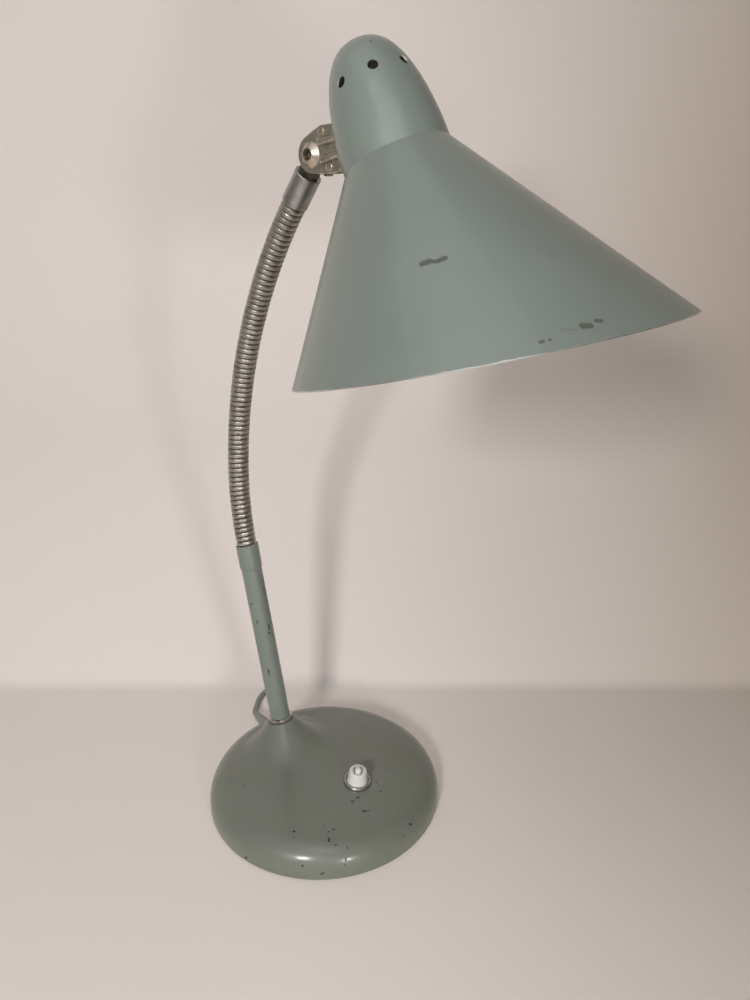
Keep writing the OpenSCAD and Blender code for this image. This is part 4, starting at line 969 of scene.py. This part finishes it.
def stageProfile():
    # (distance, height) of each row, from the front of the floor to the top of the wall
    slope, big = radians(stage["rampSlope"]), stage["wallBend"]
    floorEnd = stage["rampStart"] - stage["rampBend"]
    small = stage["rampBend"] / tan(slope / 2)
    points = [(x, 0.0) for x in (*stage["floorRows"], floorEnd)]
    for a in (slope * i / 8 for i in range(1, 9)):
        points.append((floorEnd + small * sin(a), small * (1 - cos(a))))
    x, z = points[-1]
    z += (stage["wallStart"] - x) * tan(slope)
    x = stage["wallStart"]
    points.append((x, z))
    for a in (slope + (pi / 2 - slope) * i / 12 for i in range(1, 13)):
        points.append((x + big * (sin(a) - sin(slope)), z + big * (cos(slope) - cos(a))))
    return points + [(points[-1][0] + 1, stage["top"])]


stageVerts = []
for f, z in stageProfile():
    for w in (-1, -0.5, 0, 0.5, 1):
        stageVerts.append((awayDir * f + sideDir * (w * stage["wide"]) + Vector((0, 0, z))) * mm)
stageMesh = bpy.data.meshes.new("paleStage")
stageMesh.from_pydata([tuple(v) for v in stageVerts], [], ringFaces(len(stageVerts) // 5, 5, closed=False))
stageMesh.shade_smooth()
backdrop = bpy.data.objects.new("paleStage", stageMesh)
bpy.context.scene.collection.objects.link(backdrop)
plaster, stageTree, stageShader = newMaterial("palePlaster", Roughness=stage["rough"])
# the colour runs from light at the left to dark at the right: painted light and shade
geometry = put(stageTree, "NewGeometry").outputs
across = vmath(stageTree, "DOT_PRODUCT", geometry["Position"], sideDir)
paintedLightTone = mixColour(stageTree, span(stageTree, across, *stage["across"]), stage["left"], stage["right"])
mottle = noiseOf(stageTree, geometry["Position"], stage["mottleScale"], 3.0, 0.55)
paintedLightTone = mixColour(stageTree, scaled(stageTree, mottle, stage["mottleShare"]), paintedLightTone, stage["mottle"])
# it also glows to the camera and in reflections: painted light
rays = put(stageTree, "LightPath").outputs
seen = math(stageTree, "MAXIMUM", rays["Is Camera Ray"], rays["Is Glossy Ray"])
seen = math(stageTree, "MAXIMUM", seen, rays["Is Transmission Ray"])
fill(stageTree, stageShader, {"Base Color": paintedLightTone, "Emission Color": paintedLightTone,
                              "Emission Strength": scaled(stageTree, seen, stage["glow"])})
# from behind it is clear
stageMix = put(stageTree, "MixShader", {0: geometry["Backfacing"], 1: stageShader.outputs[0],
                                        2: put(stageTree, "BsdfTransparent").outputs[0]})
stageOut = next(n for n in stageTree.nodes if n.type == "OUTPUT_MATERIAL")
fill(stageTree, stageOut, {"Surface": stageMix.outputs[0]})
stageMesh.materials.append(plaster)
print("floor ready")

# light
light = {
    "sky": (0.97, 0.97, 0.96), "skyStrength": 0.05, "skyReflected": 0.20, "aim": (0.05, 0, 0.25),
    # place in metres, width, height, power, colour
    "areas": {
        "left": ((0.554, -1.280, 0.781), 0.19, 0.23, 10.2, (1.0, 0.99, 0.97)),
        "right": ((0.800, -0.430, 0.240), 0.11, 0.14, 1.9, (1.0, 0.96, 0.90)),
        "top": ((-0.125, -0.386, 1.745), 1.1, 1.1, 1.9, (1.0, 0.98, 0.95)),
        "front": ((0.300, -0.350, 0.850), 0.4, 0.4, 0.7, (1.0, 0.99, 0.97)),
    },
}
world = bpy.data.worlds.new("paleRoom")
bpy.context.scene.world = world
world.use_nodes = True
sky = next(n for n in world.node_tree.nodes if n.type == "BACKGROUND")
glossy = put(world.node_tree, "LightPath").outputs["Is Glossy Ray"]
fill(world.node_tree, sky, {
    "Color": (*light["sky"], 1),
    "Strength": scaled(world.node_tree, glossy, light["skyReflected"], light["skyStrength"])})
for name, (spot, width, height, power, colour) in light["areas"].items():
    area = bpy.data.lights.new(name + "Light", "AREA")
    area.shape = "RECTANGLE"
    area.size, area.size_y = width, height
    area.energy = power
    area.color = colour
    lampLight = bpy.data.objects.new(name + "Light", area)
    bpy.context.scene.collection.objects.link(lampLight)
    lampLight.location = spot
    lampLight.rotation_mode = "QUATERNION"
    lampLight.rotation_quaternion = (Vector(spot) - Vector(light["aim"])).to_track_quat("Z", "Y")
bpy.context.scene.view_settings.view_transform = "Standard"
print("light ready")
